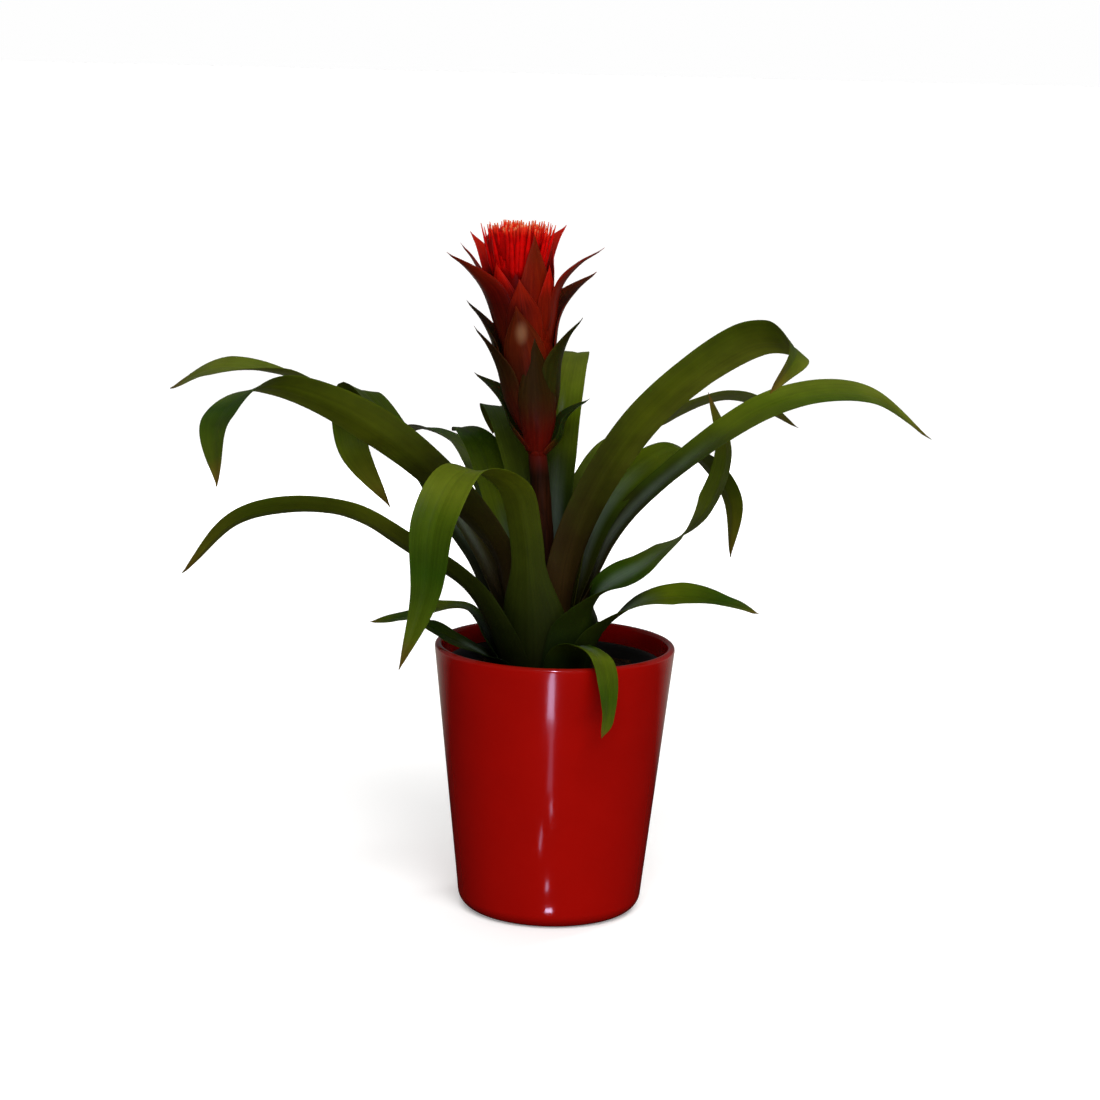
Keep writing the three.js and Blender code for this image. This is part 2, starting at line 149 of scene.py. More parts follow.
def smoothPath(points, count, dense=40):
    # centripetal Catmull-Rom through the points, as count points evenly spaced along it
    pts = [points[0] * 2 - points[1], *points, points[-1] * 2 - points[-2]]
    line = []
    for a, b, c, d in zip(pts, pts[1:], pts[2:], pts[3:]):
        stepA, stepB, stepC = (math.sqrt((q - p).length) for p, q in ((a, b), (b, c), (c, d)))
        leave = ((b - a) / stepA - (c - a) / (stepA + stepB) + (c - b) / stepB) * stepB
        arrive = ((c - b) / stepB - (d - b) / (stepB + stepC) + (d - c) / stepC) * stepB
        for i in range(dense):
            t = i / dense
            line.append(b + leave * t + (3 * (c - b) - 2 * leave - arrive) * t ** 2
                        + (2 * (b - c) + leave + arrive) * t ** 3)
    line.append(points[-1])
    lengths = [0.0]
    for p, q in zip(line, line[1:]):
        lengths.append(lengths[-1] + (q - p).length)
    even, place = [], 0
    for i in range(count):
        wanted = lengths[-1] * i / (count - 1)
        while place < len(line) - 2 and lengths[place + 1] < wanted:
            place += 1
        share = (wanted - lengths[place]) / (lengths[place + 1] - lengths[place])
        even.append(line[place].lerp(line[place + 1], share))
    return even


def mix(a, b, share):
    return a + (b - a) * share


def along(values, fraction):
    # evenly spaced values read at a fraction from 0 to 1
    place = fraction * (len(values) - 1)
    first = min(int(place), len(values) - 2)
    return mix(values[first], values[first + 1], place - first)


def smoothStep(low, high, value):
    t = min(1.0, max(0.0, (value - low) / (high - low)))
    return t * t * (3 - 2 * t)


def compass(turn):
    # the ways out and aside at a compass direction
    angle = math.radians(turn)
    out = Vector((math.cos(angle), math.sin(angle), 0))
    return out, Vector((-out.y, out.x, 0))


def guideObject(name, guides):
    # polylines for blades to grow along, with side, roll, half width, curl and colouring at each point
    verts, edges = [], []
    values = {key: [] for key in ("side", "roll", "halfWidth", "curl", "tone", "flush", "lean")}
    for guide in guides:
        first = len(verts)
        verts.extend(guide["points"])
        edges.extend((i, i + 1) for i in range(first, len(verts) - 1))
        for key, stored in values.items():
            stored.extend(guide.get(key, [0.0] * len(guide["points"])))
    mesh = newMesh(name, verts, edges, [])
    sides = [c for side in values.pop("side") for c in side]
    mesh.attributes.new("side", "FLOAT_VECTOR", "POINT").data.foreach_set("vector", sides)
    for key, stored in values.items():
        mesh.attributes.new(key, "FLOAT", "POINT").data.foreach_set("value", stored)
    return placeObject(name, mesh)


def makeBladeTree():
    # one closed blade along every guide: a tube is flattened, curled across, rolled and laid on the guide
    tree, add, given = newGeometryTree("bladesOnGuides", {
        "Guides": "Geometry", "Along": 90, "Around": 40, "Thickness": 0.0009, "Edge Thinning": 0.3,
        "Full Width": 0.0015, "Groove Depth": 0.0005, "Groove Width": 0.0016, "Ripple": 0.0006,
        "Ripples": 7.0, "Seed": 1.0, "Surface": "Material"})
    curves = add("MeshToCurve", {"Mesh": given["Guides"]})
    guideCount = add("AttributeDomainSize", {"Geometry": curves}, component="CURVE")["Spline Count"]
    tube = add("MeshCylinder", {
        "Vertices": given["Around"], "Side Segments": given["Along"], "Radius": 1.0, "Depth": 1.0},
        fill_type="NGON")["Mesh"]
    place = add("SeparateXYZ", [add("InputPosition")])
    height = add("Math", [place["Z"], 0.5], operation="ADD", use_clamp=True)
    for name, value in (("across", place["X"]), ("face", place["Y"]), ("along", height)):
        tube = add("StoreNamedAttribute", {"Geometry": tube, "Name": name, "Value": value})
    line = add("MeshLine", {"Count": guideCount})
    blades = add("InstanceOnPoints", {"Points": line, "Instance": tube})
    blades = add("StoreNamedAttribute", {"Geometry": blades, "Name": "blade", "Value": add("InputIndex")},
                 data_type="INT", domain="INSTANCE")
    blades = add("RealizeInstances", {"Geometry": blades})

    across, face, fromFoot = (
        add("InputNamedAttribute", {"Name": name})["Attribute"] for name in ("across", "face", "along"))
    blade = add("InputNamedAttribute", {"Name": "blade"}, data_type="INT")["Attribute"]
    read = {}
    for name in ("roll", "halfWidth", "curl", "tone", "flush", "lean", "side"):
        kind = {"data_type": "FLOAT_VECTOR" if name == "side" else "FLOAT"}
        onGuide = add("InputNamedAttribute", {"Name": name}, **kind)["Attribute"]
        sample = add("SampleCurve", {
            "Curves": curves, "Value": onGuide, "Factor": fromFoot, "Curve Index": blade},
            mode="FACTOR", **kind)
        read[name] = sample["Value"]

    # across the blade: an arc of the curl's radius
    reach = add("Math", [across, read["halfWidth"]], operation="MULTIPLY")
    angle = add("Math", [reach, read["curl"]], operation="DIVIDE")
    sine, cosine = (add("Math", [angle], operation=kind) for kind in ("SINE", "COSINE"))
    aside, drop = (add("Math", [read["curl"], part], operation="MULTIPLY") for part in (sine, cosine))
    lift = add("Math", [read["curl"], drop], operation="SUBTRACT")

    # thickness: full at the midrib, thinner to the edges and where the blade gets narrow
    toEdge, toFace = (add("Math", [part], operation="ABSOLUTE") for part in (across, face))
    thinned = add("Math", [toEdge, given["Edge Thinning"]], operation="MULTIPLY")
    narrow = add("Math", [read["halfWidth"], given["Full Width"]], operation="DIVIDE", use_clamp=True)
    half = add("Math", [given["Thickness"], 0.5], operation="MULTIPLY")
    for factor in (
            add("Math", [1.0, thinned], operation="SUBTRACT"), narrow,
            add("Math", [toFace, 0.5], operation="POWER"), add("Math", [face], operation="SIGN")):
        half = add("Math", [half, factor], operation="MULTIPLY")

    # the midrib's channel: a bell curve over the width
    fromRib = add("Math", [reach, given["Groove Width"]], operation="DIVIDE")
    squared = add("Math", [fromRib, fromRib], operation="MULTIPLY")
    channel = add("Math", [math.e, add("Math", [squared, -1.0], operation="MULTIPLY")], operation="POWER")
    for factor in (given["Groove Depth"], narrow):
        channel = add("Math", [channel, factor], operation="MULTIPLY")

    # a slow ripple along both edges that starts clear of the sheath
    wave = add("TexNoise", {
        "Vector": add("CombineXYZ", [
            add("Math", [fromFoot, given["Ripples"]], operation="MULTIPLY"),
            add("Math", [across, 0.8], operation="MULTIPLY"),
            add("Math", [given["Seed"], blade], operation="ADD")]),
        "Scale": 1.0, "Detail": 1.0})["Fac"]
    ripple = add("Math", [wave, 0.5], operation="SUBTRACT")
    clear = add("MapRange", {"Value": fromFoot, "From Min": 0.12, "From Max": 0.45}, **eased)
    for factor in (add("Math", [toEdge, 2.0], operation="POWER"), given["Ripple"], clear, 2.0):
        ripple = add("Math", [ripple, factor], operation="MULTIPLY")
    raised = add("Math", [half, ripple], operation="ADD")
    raised = add("Math", [raised, channel], operation="SUBTRACT")

    # local place, rolled about the midrib, then turned to the guide's direction
    flatX = add("Math", [aside, add("Math", [raised, sine], operation="MULTIPLY")], operation="SUBTRACT")
    flatY = add("Math", [lift, add("Math", [raised, cosine], operation="MULTIPLY")], operation="ADD")
    rolled = add("VectorRotate", {"Vector": add("CombineXYZ", [flatX, flatY]), "Angle": read["roll"]},
                 rotation_type="Z_AXIS")
    toGuide = add("AxesToRotation", [sample["Tangent"], read["side"]], primary_axis="Z", secondary_axis="X")
    turned = add("RotateVector", [rolled, toGuide])
    final = add("VectorMath", [turned, sample["Position"]], operation="ADD")

    # painted light and shade across the blade: lean makes one edge lighter and yellower than the other
    sideShade = add("Math", [across, read["lean"]], operation="MULTIPLY")
    read["tone"] = add("Math", [read["tone"], sideShade], operation="ADD")
    for name in ("tone", "flush"):
        blades = add("StoreNamedAttribute", {"Geometry": blades, "Name": name, "Value": read[name]})
    blades = add("SetPosition", {"Geometry": blades, "Position": final})
    blades = add("SetShadeSmooth", {"Geometry": blades})
    blades = add("SetMaterial", {"Geometry": blades, "Material": given["Surface"]})
    add("NodeGroupOutput", {"Result": blades})
    return tree


bladeTree = makeBladeTree()
print("blade tree ready,", len(bladeTree.nodes), "nodes")


def newMaterial(name, finish, *choices):
    # finish adds the nodes of the real surface and gives what the shader's sockets take
    material = bpy.data.materials.new(name)
    material.use_nodes = True
    material.node_tree.nodes.clear()
    add = partial(addNode, material.node_tree)
    surface = add("BsdfPrincipled", finish(add, add("TexCoord")["Object"], *choices))
    add("OutputMaterial", {"Surface": surface})
    return material


def readMarks(add, names):
    # what the blade tree stored on the mesh
    return {name: add("Attribute", attribute_name=name)["Fac"] for name in names}


def leafFinish(add, coords):
    # living guzmania leaf, grown: its waxy cuticle gives a soft broad sheen over fine lines to the tip
    place = readMarks(add, ("across", "along", "face", "tone", "flush"))
    # painted shade: both ramps along the blade go near black at the foot, where the crown shades it
    upper = add("ValToRGB", [place["along"]], (
        (0.0, "#0e1805"), (0.12, "#152306"), (0.35, "#263a05"), (0.55, "#4c5909"), (0.8, "#273f03"),
        (0.93, "#3e4a06"), (1.0, "#5d5a12")))["Color"]
    under = add("ValToRGB", [place["along"]], (
        (0.0, "#0e1404"), (0.12, "#182204"), (0.3, "#303a04"), (0.5, "#4a5206"), (0.8, "#465405"),
        (1.0, "#615c14")))["Color"]
    onUpper = add("MapRange", {"Value": place["face"], "From Min": -0.15, "From Max": 0.15}, **eased)
    colour = add("Mix", [onUpper, under, upper], data_type="RGBA")
    # painted light and shade: positive tone lights a stretch yellow olive, negative shades it near black
    # green
    for way, hexCode in ((1.0, "#7d8226"), (-1.0, "#0a1603")):
        share = add("Math", [place["tone"], way], operation="MULTIPLY", use_clamp=True)
        colour = add("Mix", [share, colour, hexCode], data_type="RGBA")
    # parallel veins: noise drawn out along the blade, about 25 lines to its width
    drawnOut = [add("Math", [place[name], times], operation="MULTIPLY")
                for name, times in (("across", 13.0), ("along", 2.2), ("flush", 9.0))]
    veins = add("TexNoise", {
        "Vector": add("CombineXYZ", drawnOut), "Scale": 1.0, "Detail": 3.0, "Roughness": 0.6})["Fac"]
    clouds = add("TexNoise", {"Vector": coords, "Scale": 55.0, "Detail": 3.0})["Fac"]
    # brown flush from the crown upwards, with a clouded end
    reach = add("Math", [place["along"], add("Math", [clouds, 0.22], operation="MULTIPLY")], operation="ADD")
    nearCrown = add("MapRange", {
        "Value": reach, "From Min": 0.26, "From Max": 0.62, "To Min": 1.0, "To Max": 0.0}, **eased)
    flush = add("Math", [nearCrown, place["flush"]], operation="MULTIPLY")
    colour = add("Mix", [flush, colour, "#2f1c0a"], data_type="RGBA")
    # painted sheen: a grey-blue highlight lies in the channel above the sheath, on the upper face
    offMidrib = add("Math", [place["across"]], operation="ABSOLUTE")
    paintedSheen = add("MapRange", {
        "Value": offMidrib, "From Min": 0.05, "From Max": 0.65, "To Min": 0.3, "To Max": 0.0}, **eased)
    risen, faded = (add("MapRange", {"Value": place["along"], "From Min": start, "From Max": end}, **eased)
                    for start, end in ((0.14, 0.27), (0.56, 0.34)))
    for factor in (risen, faded, onUpper):
        paintedSheen = add("Math", [paintedSheen, factor], operation="MULTIPLY")
    colour = add("Mix", [paintedSheen, colour, "#66736a"], data_type="RGBA")
    # the very point has dried to a rusty brown
    dry = add("MapRange", {"Value": place["along"], "From Min": 0.93, "From Max": 0.99, "To Max": 0.6})
    colour = add("Mix", [dry, colour, "#4a250e"], data_type="RGBA")
    shade = add("Math", [
        add("Math", [veins, 0.5], operation="MULTIPLY"), add("Math", [clouds, 0.6], operation="MULTIPLY")],
        operation="ADD")
    shade = add("MapRange", {
        "Value": shade, "From Min": 0.3, "From Max": 0.8, "To Min": 0.7, "To Max": 1.32})
    colour = add("VectorMath", [colour, shade], operation="SCALE")
    bump = add("Bump", {"Height": veins, "Strength": 0.35, "Distance": 0.0004})
    rough = add("MapRange", {
        "Value": veins, "From Min": 0.3, "From Max": 0.7, "To Min": 0.32, "To Max": 0.44})
    # the underside is duller
    duller = add("Math", [add("Math", [onUpper, -0.2], operation="MULTIPLY"), 0.2], operation="ADD")
    return {
        "Base Color": colour, "Roughness": add("Math", [rough, duller], operation="ADD"), "IOR": 1.42,
        "Specular IOR Level": 0.11, "Normal": bump, "Subsurface Weight": 0.1,
        "Subsurface Radius": (0.4, 0.8, 0.15), "Subsurface Scale": 0.002}


leafMaterial = newMaterial("livingGuzmaniaLeaf", leafFinish)

# turn: compass direction, 0 to the right and 90 away. seat: sheath's radius at the soil. flush: how brown its
# foot is. spine: midrib as out, up, aside from the crown. roll: twist along the blade. tone, painted light
# and shade along the blade: 0 deep green, 1 lit to yellow olive, -1 shaded to near black. Where they differ:
# neck, taper, and lean, painted light and shade across the blade, by which its left edge is lighter and
# yellower.
leaves = {
    "leaf_back_right_inner": {
        "turn": 78, "seat": 8, "width": 21, "flush": 0.25,
        "spine": [[10, 50], [16, 105, -1], [28, 150, -2], [54, 167, -2], [88, 152, 0]],
        "roll": [0, 2, 4, 4, 0, 0], "tone": [-0.9, -0.9, -0.9, -0.9, -0.7, 0.0, 0.35, 0.35, 0.4]},
    "leaf_right_tall": {
        "turn": 317, "seat": 9.4, "width": 26, "flush": 0.75, "taper": 3, "lean": 0.3,
        "spine": [[20, 74], [56, 140, 10], [116, 187, 20], [166, 189, -3], [175, 172, -34]],
        "roll": [0, -10, -19, -28, -52, -6], "tone": [-0.6, -0.5, -0.3, -0.02, 0.04, 0.15, 0.25, 0.1, -0.05]},
    "leaf_back_inner": {
        "turn": 112, "seat": 9.4, "width": 31, "flush": 0.3,
        "spine": [[14, 50], [31, 100], [50, 128, 2], [78, 134, 0], [108, 114, -8]],
        "roll": [0, 3, 6, 4, 0, 0], "tone": [-0.4, -0.4, -0.3, -0.3, -0.1]},
    "leaf_front": {
        "turn": 250, "seat": 20.4, "width": 26, "flush": 0.1, "neck": 0.74,
        "spine": [[23.6, 18], [27, 42], [34, 82, -1], [46, 107, -4], [73, 117, -20], [91, 95, -28],
                  [98, 56, -30], [112, 20, -38]],
        "roll": [0, 0, 0, 0, 0, 0, 0, 0, 0], "tone": [-0.3, -0.15, 0.0, 0.0, 0.04, 0.2, -0.25, -0.05, -0.2]},
    "leaf_back_left_inner": {
        "turn": 128, "seat": 14.4, "width": 28, "flush": 0.25,
        "spine": [[23.5, 48, 1], [42, 92, 3], [58, 114, 2], [80, 122, -3], [102, 118, -9]],
        "roll": [0, 0, 4, 4, 0, 0], "tone": [-0.4, -0.3, -0.3, -0.3, -0.2]},
    "leaf_right_mid": {
        "turn": 41, "seat": 12, "width": 26, "flush": 0.4,
        "spine": [[21, 50], [44, 90, -1], [92, 114, -4], [132, 84, -4], [142, 47, 4]],
        "roll": [0, 8, 12, 4, 0, 0], "tone": [-0.35, -0.4, -0.32, -0.1, 0.05]},
    "leaf_left_tall": {
        "turn": 205, "seat": 15.6, "width": 26, "flush": 0.7, "lean": -0.2,
        "spine": [[23, 43, -1], [31, 70, 1], [97, 133, 6], [161, 161, 11], [198, 150, 40], [215, 125, 90]],
        "roll": [0, 8, 36, 49, 31, -16, -43], "tone": [-0.2, -0.3, -0.27, -0.12, 0.03, -0.2, -0.25]},
    "leaf_right_long": {
        "turn": 14, "seat": 13.2, "width": 26, "flush": 0.6, "lean": 0.15,
        "spine": [[17, 20], [35, 72, 2], [76, 114, -2], [127, 146, -6], [177, 149, -1], [221, 122, 12]],
        "roll": [0, 10, 8, 18, 27, 28], "tone": [0.0, -0.4, -0.5, -0.4, 0.05, 0.28, 0.15]},
    "leaf_left_long": {
        "turn": 154, "seat": 16.8, "width": 26, "flush": 0.6, "neck": 0.8, "taper": 3,
        "spine": [[32, 46], [65, 90], [105, 125, 4], [148, 147, 6], [206, 150, 3], [251, 133, -14]],
        "roll": [0, 2, 6, 12, 22, -24, -32], "tone": [-0.4, -0.35, -0.25, 0.1, 0.2, 0.35, 0.2]},
    "leaf_back_right_long": {
        "turn": 58, "seat": 10.8, "width": 26, "flush": 0.3,
        "spine": [[18, 50], [37, 92], [65, 116, -2], [102, 122, -4], [160, 132, -9], [214, 126, -8],
                  [262, 106, -14]],
        "roll": [0, -2, -8, -16, -42, -22, -7, -4], "tone": [0.1, 0.1, 0.2, 0.1, 0.0]},
    "leaf_back_left": {
        "turn": 113, "seat": 18.1, "width": 26, "flush": 0.3,
        "spine": [[34, 42], [79, 82, -1], [132, 102, -2], [184, 107, 3], [234, 96, 1]],
        "roll": [0, 3, 7, 24, 8, 0], "tone": [-0.3, -0.4, -0.4, -0.4, -0.2]},
    "leaf_left_mid": {
        "turn": 132, "seat": 19.5, "width": 26, "flush": 0.3,
        "spine": [[38, 37], [76, 69], [116, 104, 2], [158, 136, 6], [172, 104, 0], [128, 72, 6]],
        "roll": [0, 2, 6, 16, 16, 32, 38], "tone": [-0.2, -0.3, -0.5, -0.6, -0.2, -0.15]},
    "leaf_right_twisted": {
        "turn": 315, "seat": 21.6, "width": 26, "flush": 0, "neck": 0.85,
        "spine": [[26.5, 20, 0], [32.5, 46, 6], [39, 62, 37], [38.4, 84, 80.7], [36.6, 114, 98.8],
                  [29.3, 148, 91.6]],
        "roll": [14, 65, 79, 74, 22, 9, 7], "tone": [-0.3, -0.2, -0.1, -0.3, -0.3]},
    "leaf_left_low": {
        "turn": 202, "seat": 21.8, "width": 26, "flush": 0.1, "neck": 0.85, "taper": 3,
        "spine": [[32, 26], [47, 50, 2], [77, 71, 6], [117, 93, 4], [170, 91, -1], [200, 63, -4]],
        "roll": [0, 14, 24, 21, 28, 37, 44], "tone": [-0.3, -0.3, -0.15, 0.05, -0.1, -0.2, -0.2]},
    "leaf_right_low": {
        "turn": 340, "seat": 23.2, "width": 24, "flush": 0,
        "spine": [[31, 24], [50, 41, 2], [73, 47, 5], [98, 46, 4], [120, 44, -6]],
        "roll": [0, -10, 12, 20, 4, 0], "tone": [-0.4, -0.3, -0.2, -0.1, 0]},
    "leaf_left_short": {
        "turn": 166, "seat": 23.4, "width": 22, "flush": 0,
        "spine": [[33, 17], [44, 31], [61, 30, 2], [79, 24], [99, 20, 1]],
        "roll": [0, 3, 8, -10, -8, -20], "tone": [-0.4, -0.3, -0.1, -0.1, 0]},
    "leaf_front_short": {
        "turn": 295, "seat": 24.8, "width": 16, "flush": 0,
        "spine": [[33, 19], [51, 23], [67, 20, 1], [77, 7, 0], [82, -7, -2], [90, -15, -9]],
        "roll": [0, -4, -10, -16, -21, -27, -22], "tone": [-0.3, -0.2, 0.05, -0.2, 0.05, 0.0]},
    "leaf_left_rim": {
        "turn": 200, "seat": 25.6, "width": 20, "flush": 0,
        "spine": [[31, 8], [40, 14], [52, 20, 1], [64, 27, 3], [75, 33, 3]],
        "roll": [0, -5, -12, -20, -22, -24], "tone": [-0.9, -0.9, -0.9, -0.8, -0.6]},
    "leaf_back_low": {
        "turn": 82, "seat": 21.4, "width": 24, "flush": 0.2,
        "spine": [[36, 22], [62, 42], [94, 54, 2], [128, 48, 4], [156, 28, 6]],
        "roll": [0, 0, 6, 10, 6, 0], "tone": [0, 0.05, 0.1]},
    "leaf_back_left_low": {
        "turn": 109, "seat": 25.4, "width": 24, "flush": 0.2,
        "spine": [[38, 14], [62, 26, -3], [92, 30, -6], [120, 20, -8], [142, 2, -8]],
        "roll": [0, -4, -8, -8, -4, 0], "tone": [0, 0.05, 0.1]},
}
leafBlade = {
    "thickness": 0.9, "sheathWider": 1.6, "sheathWrap": 56, "sheathFull": 26, "sheathEnds": 68,
    "neck": 0.96, "neckStarts": 85, "neckEnds": 165, "fullLength": 220,
    "tipStart": 0.62, "tipHalfWidth": 0.25, "taper": 1.9,
    "baseCurl": 32, "tipCurl": 46, "steps": 96, "around": 44, "guidePoints": 90, "seedStep": 3.7,
}


def leafGuide(leaf):
    out, side = compass(leaf["turn"])
    middle = Vector((crown["x"], 0, crownZ))
    spine = [[leaf["seat"], 0], *leaf["spine"]]
    corners = [middle + out * p[0] + Vector((0, 0, p[1])) + side * (p[2] if len(p) > 2 else 0) for p in spine]
    points = smoothPath(corners, leafBlade["guidePoints"])
    count = len(points)
    length = sum((b - a).length for a, b in zip(points, points[1:]))
    shorter = min(1, length / leafBlade["fullLength"])
    guide = {
        "points": points, "side": [side] * count, "flush": [leaf["flush"]] * count,
        "lean": [leaf.get("lean", 0.0)] * count, "tone": [], "roll": [], "halfWidth": [], "curl": []}
    for i, point in enumerate(points):
        f = i / (count - 1)
        fromStem = math.hypot(point.x - middle.x, point.y - middle.y)
        toTip = max(0, (f - leafBlade["tipStart"]) / (1 - leafBlade["tipStart"]))
        reach = f * length / shorter
        inSheath = 1 - smoothStep(leafBlade["sheathFull"], leafBlade["sheathEnds"], reach)
        pastNeck = smoothStep(leafBlade["neckStarts"], leafBlade["neckEnds"], reach)
        neck = mix(leaf.get("neck", leafBlade["neck"]), 1, pastNeck)
        sheath = min(leaf["width"] / 2 * leafBlade["sheathWider"],
                     fromStem * math.radians(leafBlade["sheathWrap"]))
        taper = 1 - toTip ** leaf.get("taper", leafBlade["taper"])
        wide = mix(leaf["width"] / 2 * neck, sheath, inSheath) * taper
        curl = max(leaf["seat"], min(fromStem, mix(leafBlade["baseCurl"], leafBlade["tipCurl"], f)))
        guide["tone"].append(along(leaf["tone"], f))
        guide["roll"].append(math.radians(along(leaf["roll"], f)) * (1 - inSheath))
        guide["halfWidth"].append(max(leafBlade["tipHalfWidth"], wide) * mm)
        guide["curl"].append(curl * mm)
    return guide


def camelCase(node):
    first, *rest = node.split("_")
    return first + "".join(word.capitalize() for word in rest)


for number, (node, leaf) in enumerate(leaves.items()):
    name = camelCase(node)
    piece = meshThroughTree(name, guideObject(name, [leafGuide(leaf)]), bladeTree, {
        "Along": leafBlade["steps"], "Around": leafBlade["around"], "Thickness": leafBlade["thickness"] * mm,
        "Seed": leafBlade["seedStep"] * number, "Surface": leafMaterial})
    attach(piece, "root")
    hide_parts(node)
print("leaves made,", len(leaves))

# the stalk leans left as it rises: aside and up from the crown; its rings: up and radius
stalk = {
    "line": [[0, -30], [0, 0], [-1.5, 61], [-7, 121], [-13.5, 174], [-20.5, 226], [-22, 242]],
    "rings": [[-30, 5.9], [-26, 7.4], [-2, 7.4], [4, 6.2], [20, 5.4], [61, 5.4], [110, 5.2], [128, 4.6]],
    "sides": 40, "ringStep": 2.5, "wobble": 0.25, "linePoints": 400,
    # its own small bracts, counted down from the head
    "bracts": 4, "firstTurn": 10, "firstTip": 116, "bractStep": 19, "bractLength": 38, "bractWidth": 14,
    "bractFoot": 4.6, "bractBelly": 6.4, "bractFlare": 10, "flareStep": 0.5, "toneStep": 0.1,
}
head = {
    "base": 116, "top": 220, "radii": [4.6, 7, 11.5, 13, 13.8, 14, 14, 13.8, 13.2],
    # where a painted highlight sits on one bract, in millimetres
    "coreRing": 4, "coreStep": 5, "coreTone": 0.8, "scar": (-21.5, -19, 315),
    "thickness": 0.8, "steps": 34, "around": 24, "guidePoints": 36, "ripples": 3.0,
    # a bract's foot sits in the core, and its belly stands further out on the higher ones
    "footSink": 1.5, "footLeast": 4, "belly": 14.5, "bellyStep": 0.3, "bellyMost": 18.5,
    # bracts from the lowest up: turn, tip out, tip up, length, width, and tip colour: 0 green, 1 bleached
    "bracts": [
        [10, 31, 148, 30, 20, 0.0], [147, 36, 159, 40, 24, 0.05], [286, 18, 182, 63, 24, 0.27],
        [62, 29, 181, 56, 25, 0.15], [200, 28, 187, 60, 26, 0.3], [338, 34, 193, 62, 26, 0.12],
        [115, 30, 196, 56, 25, 0.2], [264, 24, 199, 54, 26, 0.42], [30, 48, 214, 58, 26, 0.35],
        [168, 30, 199, 52, 25, 0.25], [304, 19, 236, 62, 22, 0.5], [82, 28, 220, 56, 23, 0.4],
        [220, 46, 227, 58, 24, 0.5], [358, 47, 229, 56, 22, 0.5], [135, 34, 234, 52, 20, 0.7],
        [272, 21, 213, 42, 20, 0.6], [50, 43, 238, 50, 18, 0.75], [188, 29, 230, 44, 18, 0.6],
        [325, 21, 220, 40, 17, 0.8], [102, 25, 233, 38, 16, 0.8], [240, 21, 221, 38, 17, 0.8],
        [18, 21, 228, 38, 15, 0.8]],
}
# a bract opens from the spike: shares of its rise, each with the share of its way out that it has made there
bractBlade = {
    "claspRise": 0.3, "claspIn": 0.9, "opening": [[0.62, 0.12], [0.84, 0.5]],
    "swellStart": 0.22, "swellGrowth": 0.6, "swellPower": 0.9,
    "tipStart": 0.5, "taper": 1.7, "tipHalfWidth": 0.2, "footCurl": 7,
}
stalkLine = [Vector((crown["x"] + x, 0, crownZ + up)) for x, up in stalk["line"]]
stalkPath = smoothPath(stalkLine, stalk["linePoints"])


def stalkAt(up):
    # the stalk's middle at a height above the crown
    wanted = crownZ + up
    for low, high in zip(stalkPath, stalkPath[1:]):
        if high.z >= wanted:
            return low.lerp(high, max(0.0, (wanted - low.z) / (high.z - low.z)))
    return stalkPath[-1].copy()


def stalkBody(name, rings, sides, step, wobble=0.0):
    # a round closed body on the stalk's line through rings of height and radius
    heights = []
    for (low, _), (high, _) in zip(rings, rings[1:]):
        pieces = max(1, round((high - low) / step))
        heights.extend(low + (high - low) * i / pieces for i in range(pieces))
    heights.append(rings[-1][0])
    verts, faces = [], []
    for up in heights:
        centre = stalkAt(up)
        lower, upper = next(pair for pair in zip(rings, rings[1:]) if pair[1][0] >= up)
        radius = mix(lower[1], upper[1], (up - lower[0]) / (upper[0] - lower[0]))
        for j in range(sides):
            angle = 2 * math.pi * j / sides
            spot = Vector((math.cos(angle), math.sin(angle), 0))
            wide = radius + wobble * noise.noise(spot * 3 + Vector((0, 0, up / 9)))
            verts.append((centre + spot * wide) * mm)
    for i in range(len(heights) - 1):
        for j in range(sides):
            a, b = i * sides + j, i * sides + (j + 1) % sides
            faces.append((a, b, b + sides, a + sides))
    faces.append(tuple(reversed(range(sides))))
    faces.append(tuple(range(len(verts) - sides, len(verts))))
    mesh = bpy.data.meshes.new(name)
    mesh.from_pydata(verts, [], faces)
    mesh.shade_smooth()
    return placeObject(name, mesh)


def bractGuide(turn, foot, footRadius, belly, tipOut, tipUp, width, tone):
    # clasps the stalk's line for most of its length, then flares to its tip
    out, side = compass(turn)
    rise = tipUp - foot
    places = [(footRadius, foot), (belly * bractBlade["claspIn"], foot + bractBlade["claspRise"] * rise)]
    places += [(mix(belly, tipOut, opened), foot + share * rise) for share, opened in bractBlade["opening"]]
    places.append((tipOut, tipUp))
    points = smoothPath([stalkAt(up) + out * away for away, up in places], head["guidePoints"])
    count = len(points)
    guide = {"points": points, "side": [side] * count, "tone": [tone] * count, "halfWidth": [], "curl": []}
    footCurl = max(footRadius, bractBlade["footCurl"])
    for i in range(count):
        f = i / (count - 1)
        grown = min(1, bractBlade["swellStart"] + bractBlade["swellGrowth"] * f)
        swell = math.sin(math.pi * grown ** bractBlade["swellPower"])
        toTip = max(0, (f - bractBlade["tipStart"]) / (1 - bractBlade["tipStart"]))
        wide = width / 2 * swell * (1 - toTip ** bractBlade["taper"])
        guide["halfWidth"].append(max(bractBlade["tipHalfWidth"], wide) * mm)
        guide["curl"].append(mix(footCurl, belly * bractBlade["claspIn"], min(1, f * 2)) * mm)
    return guide


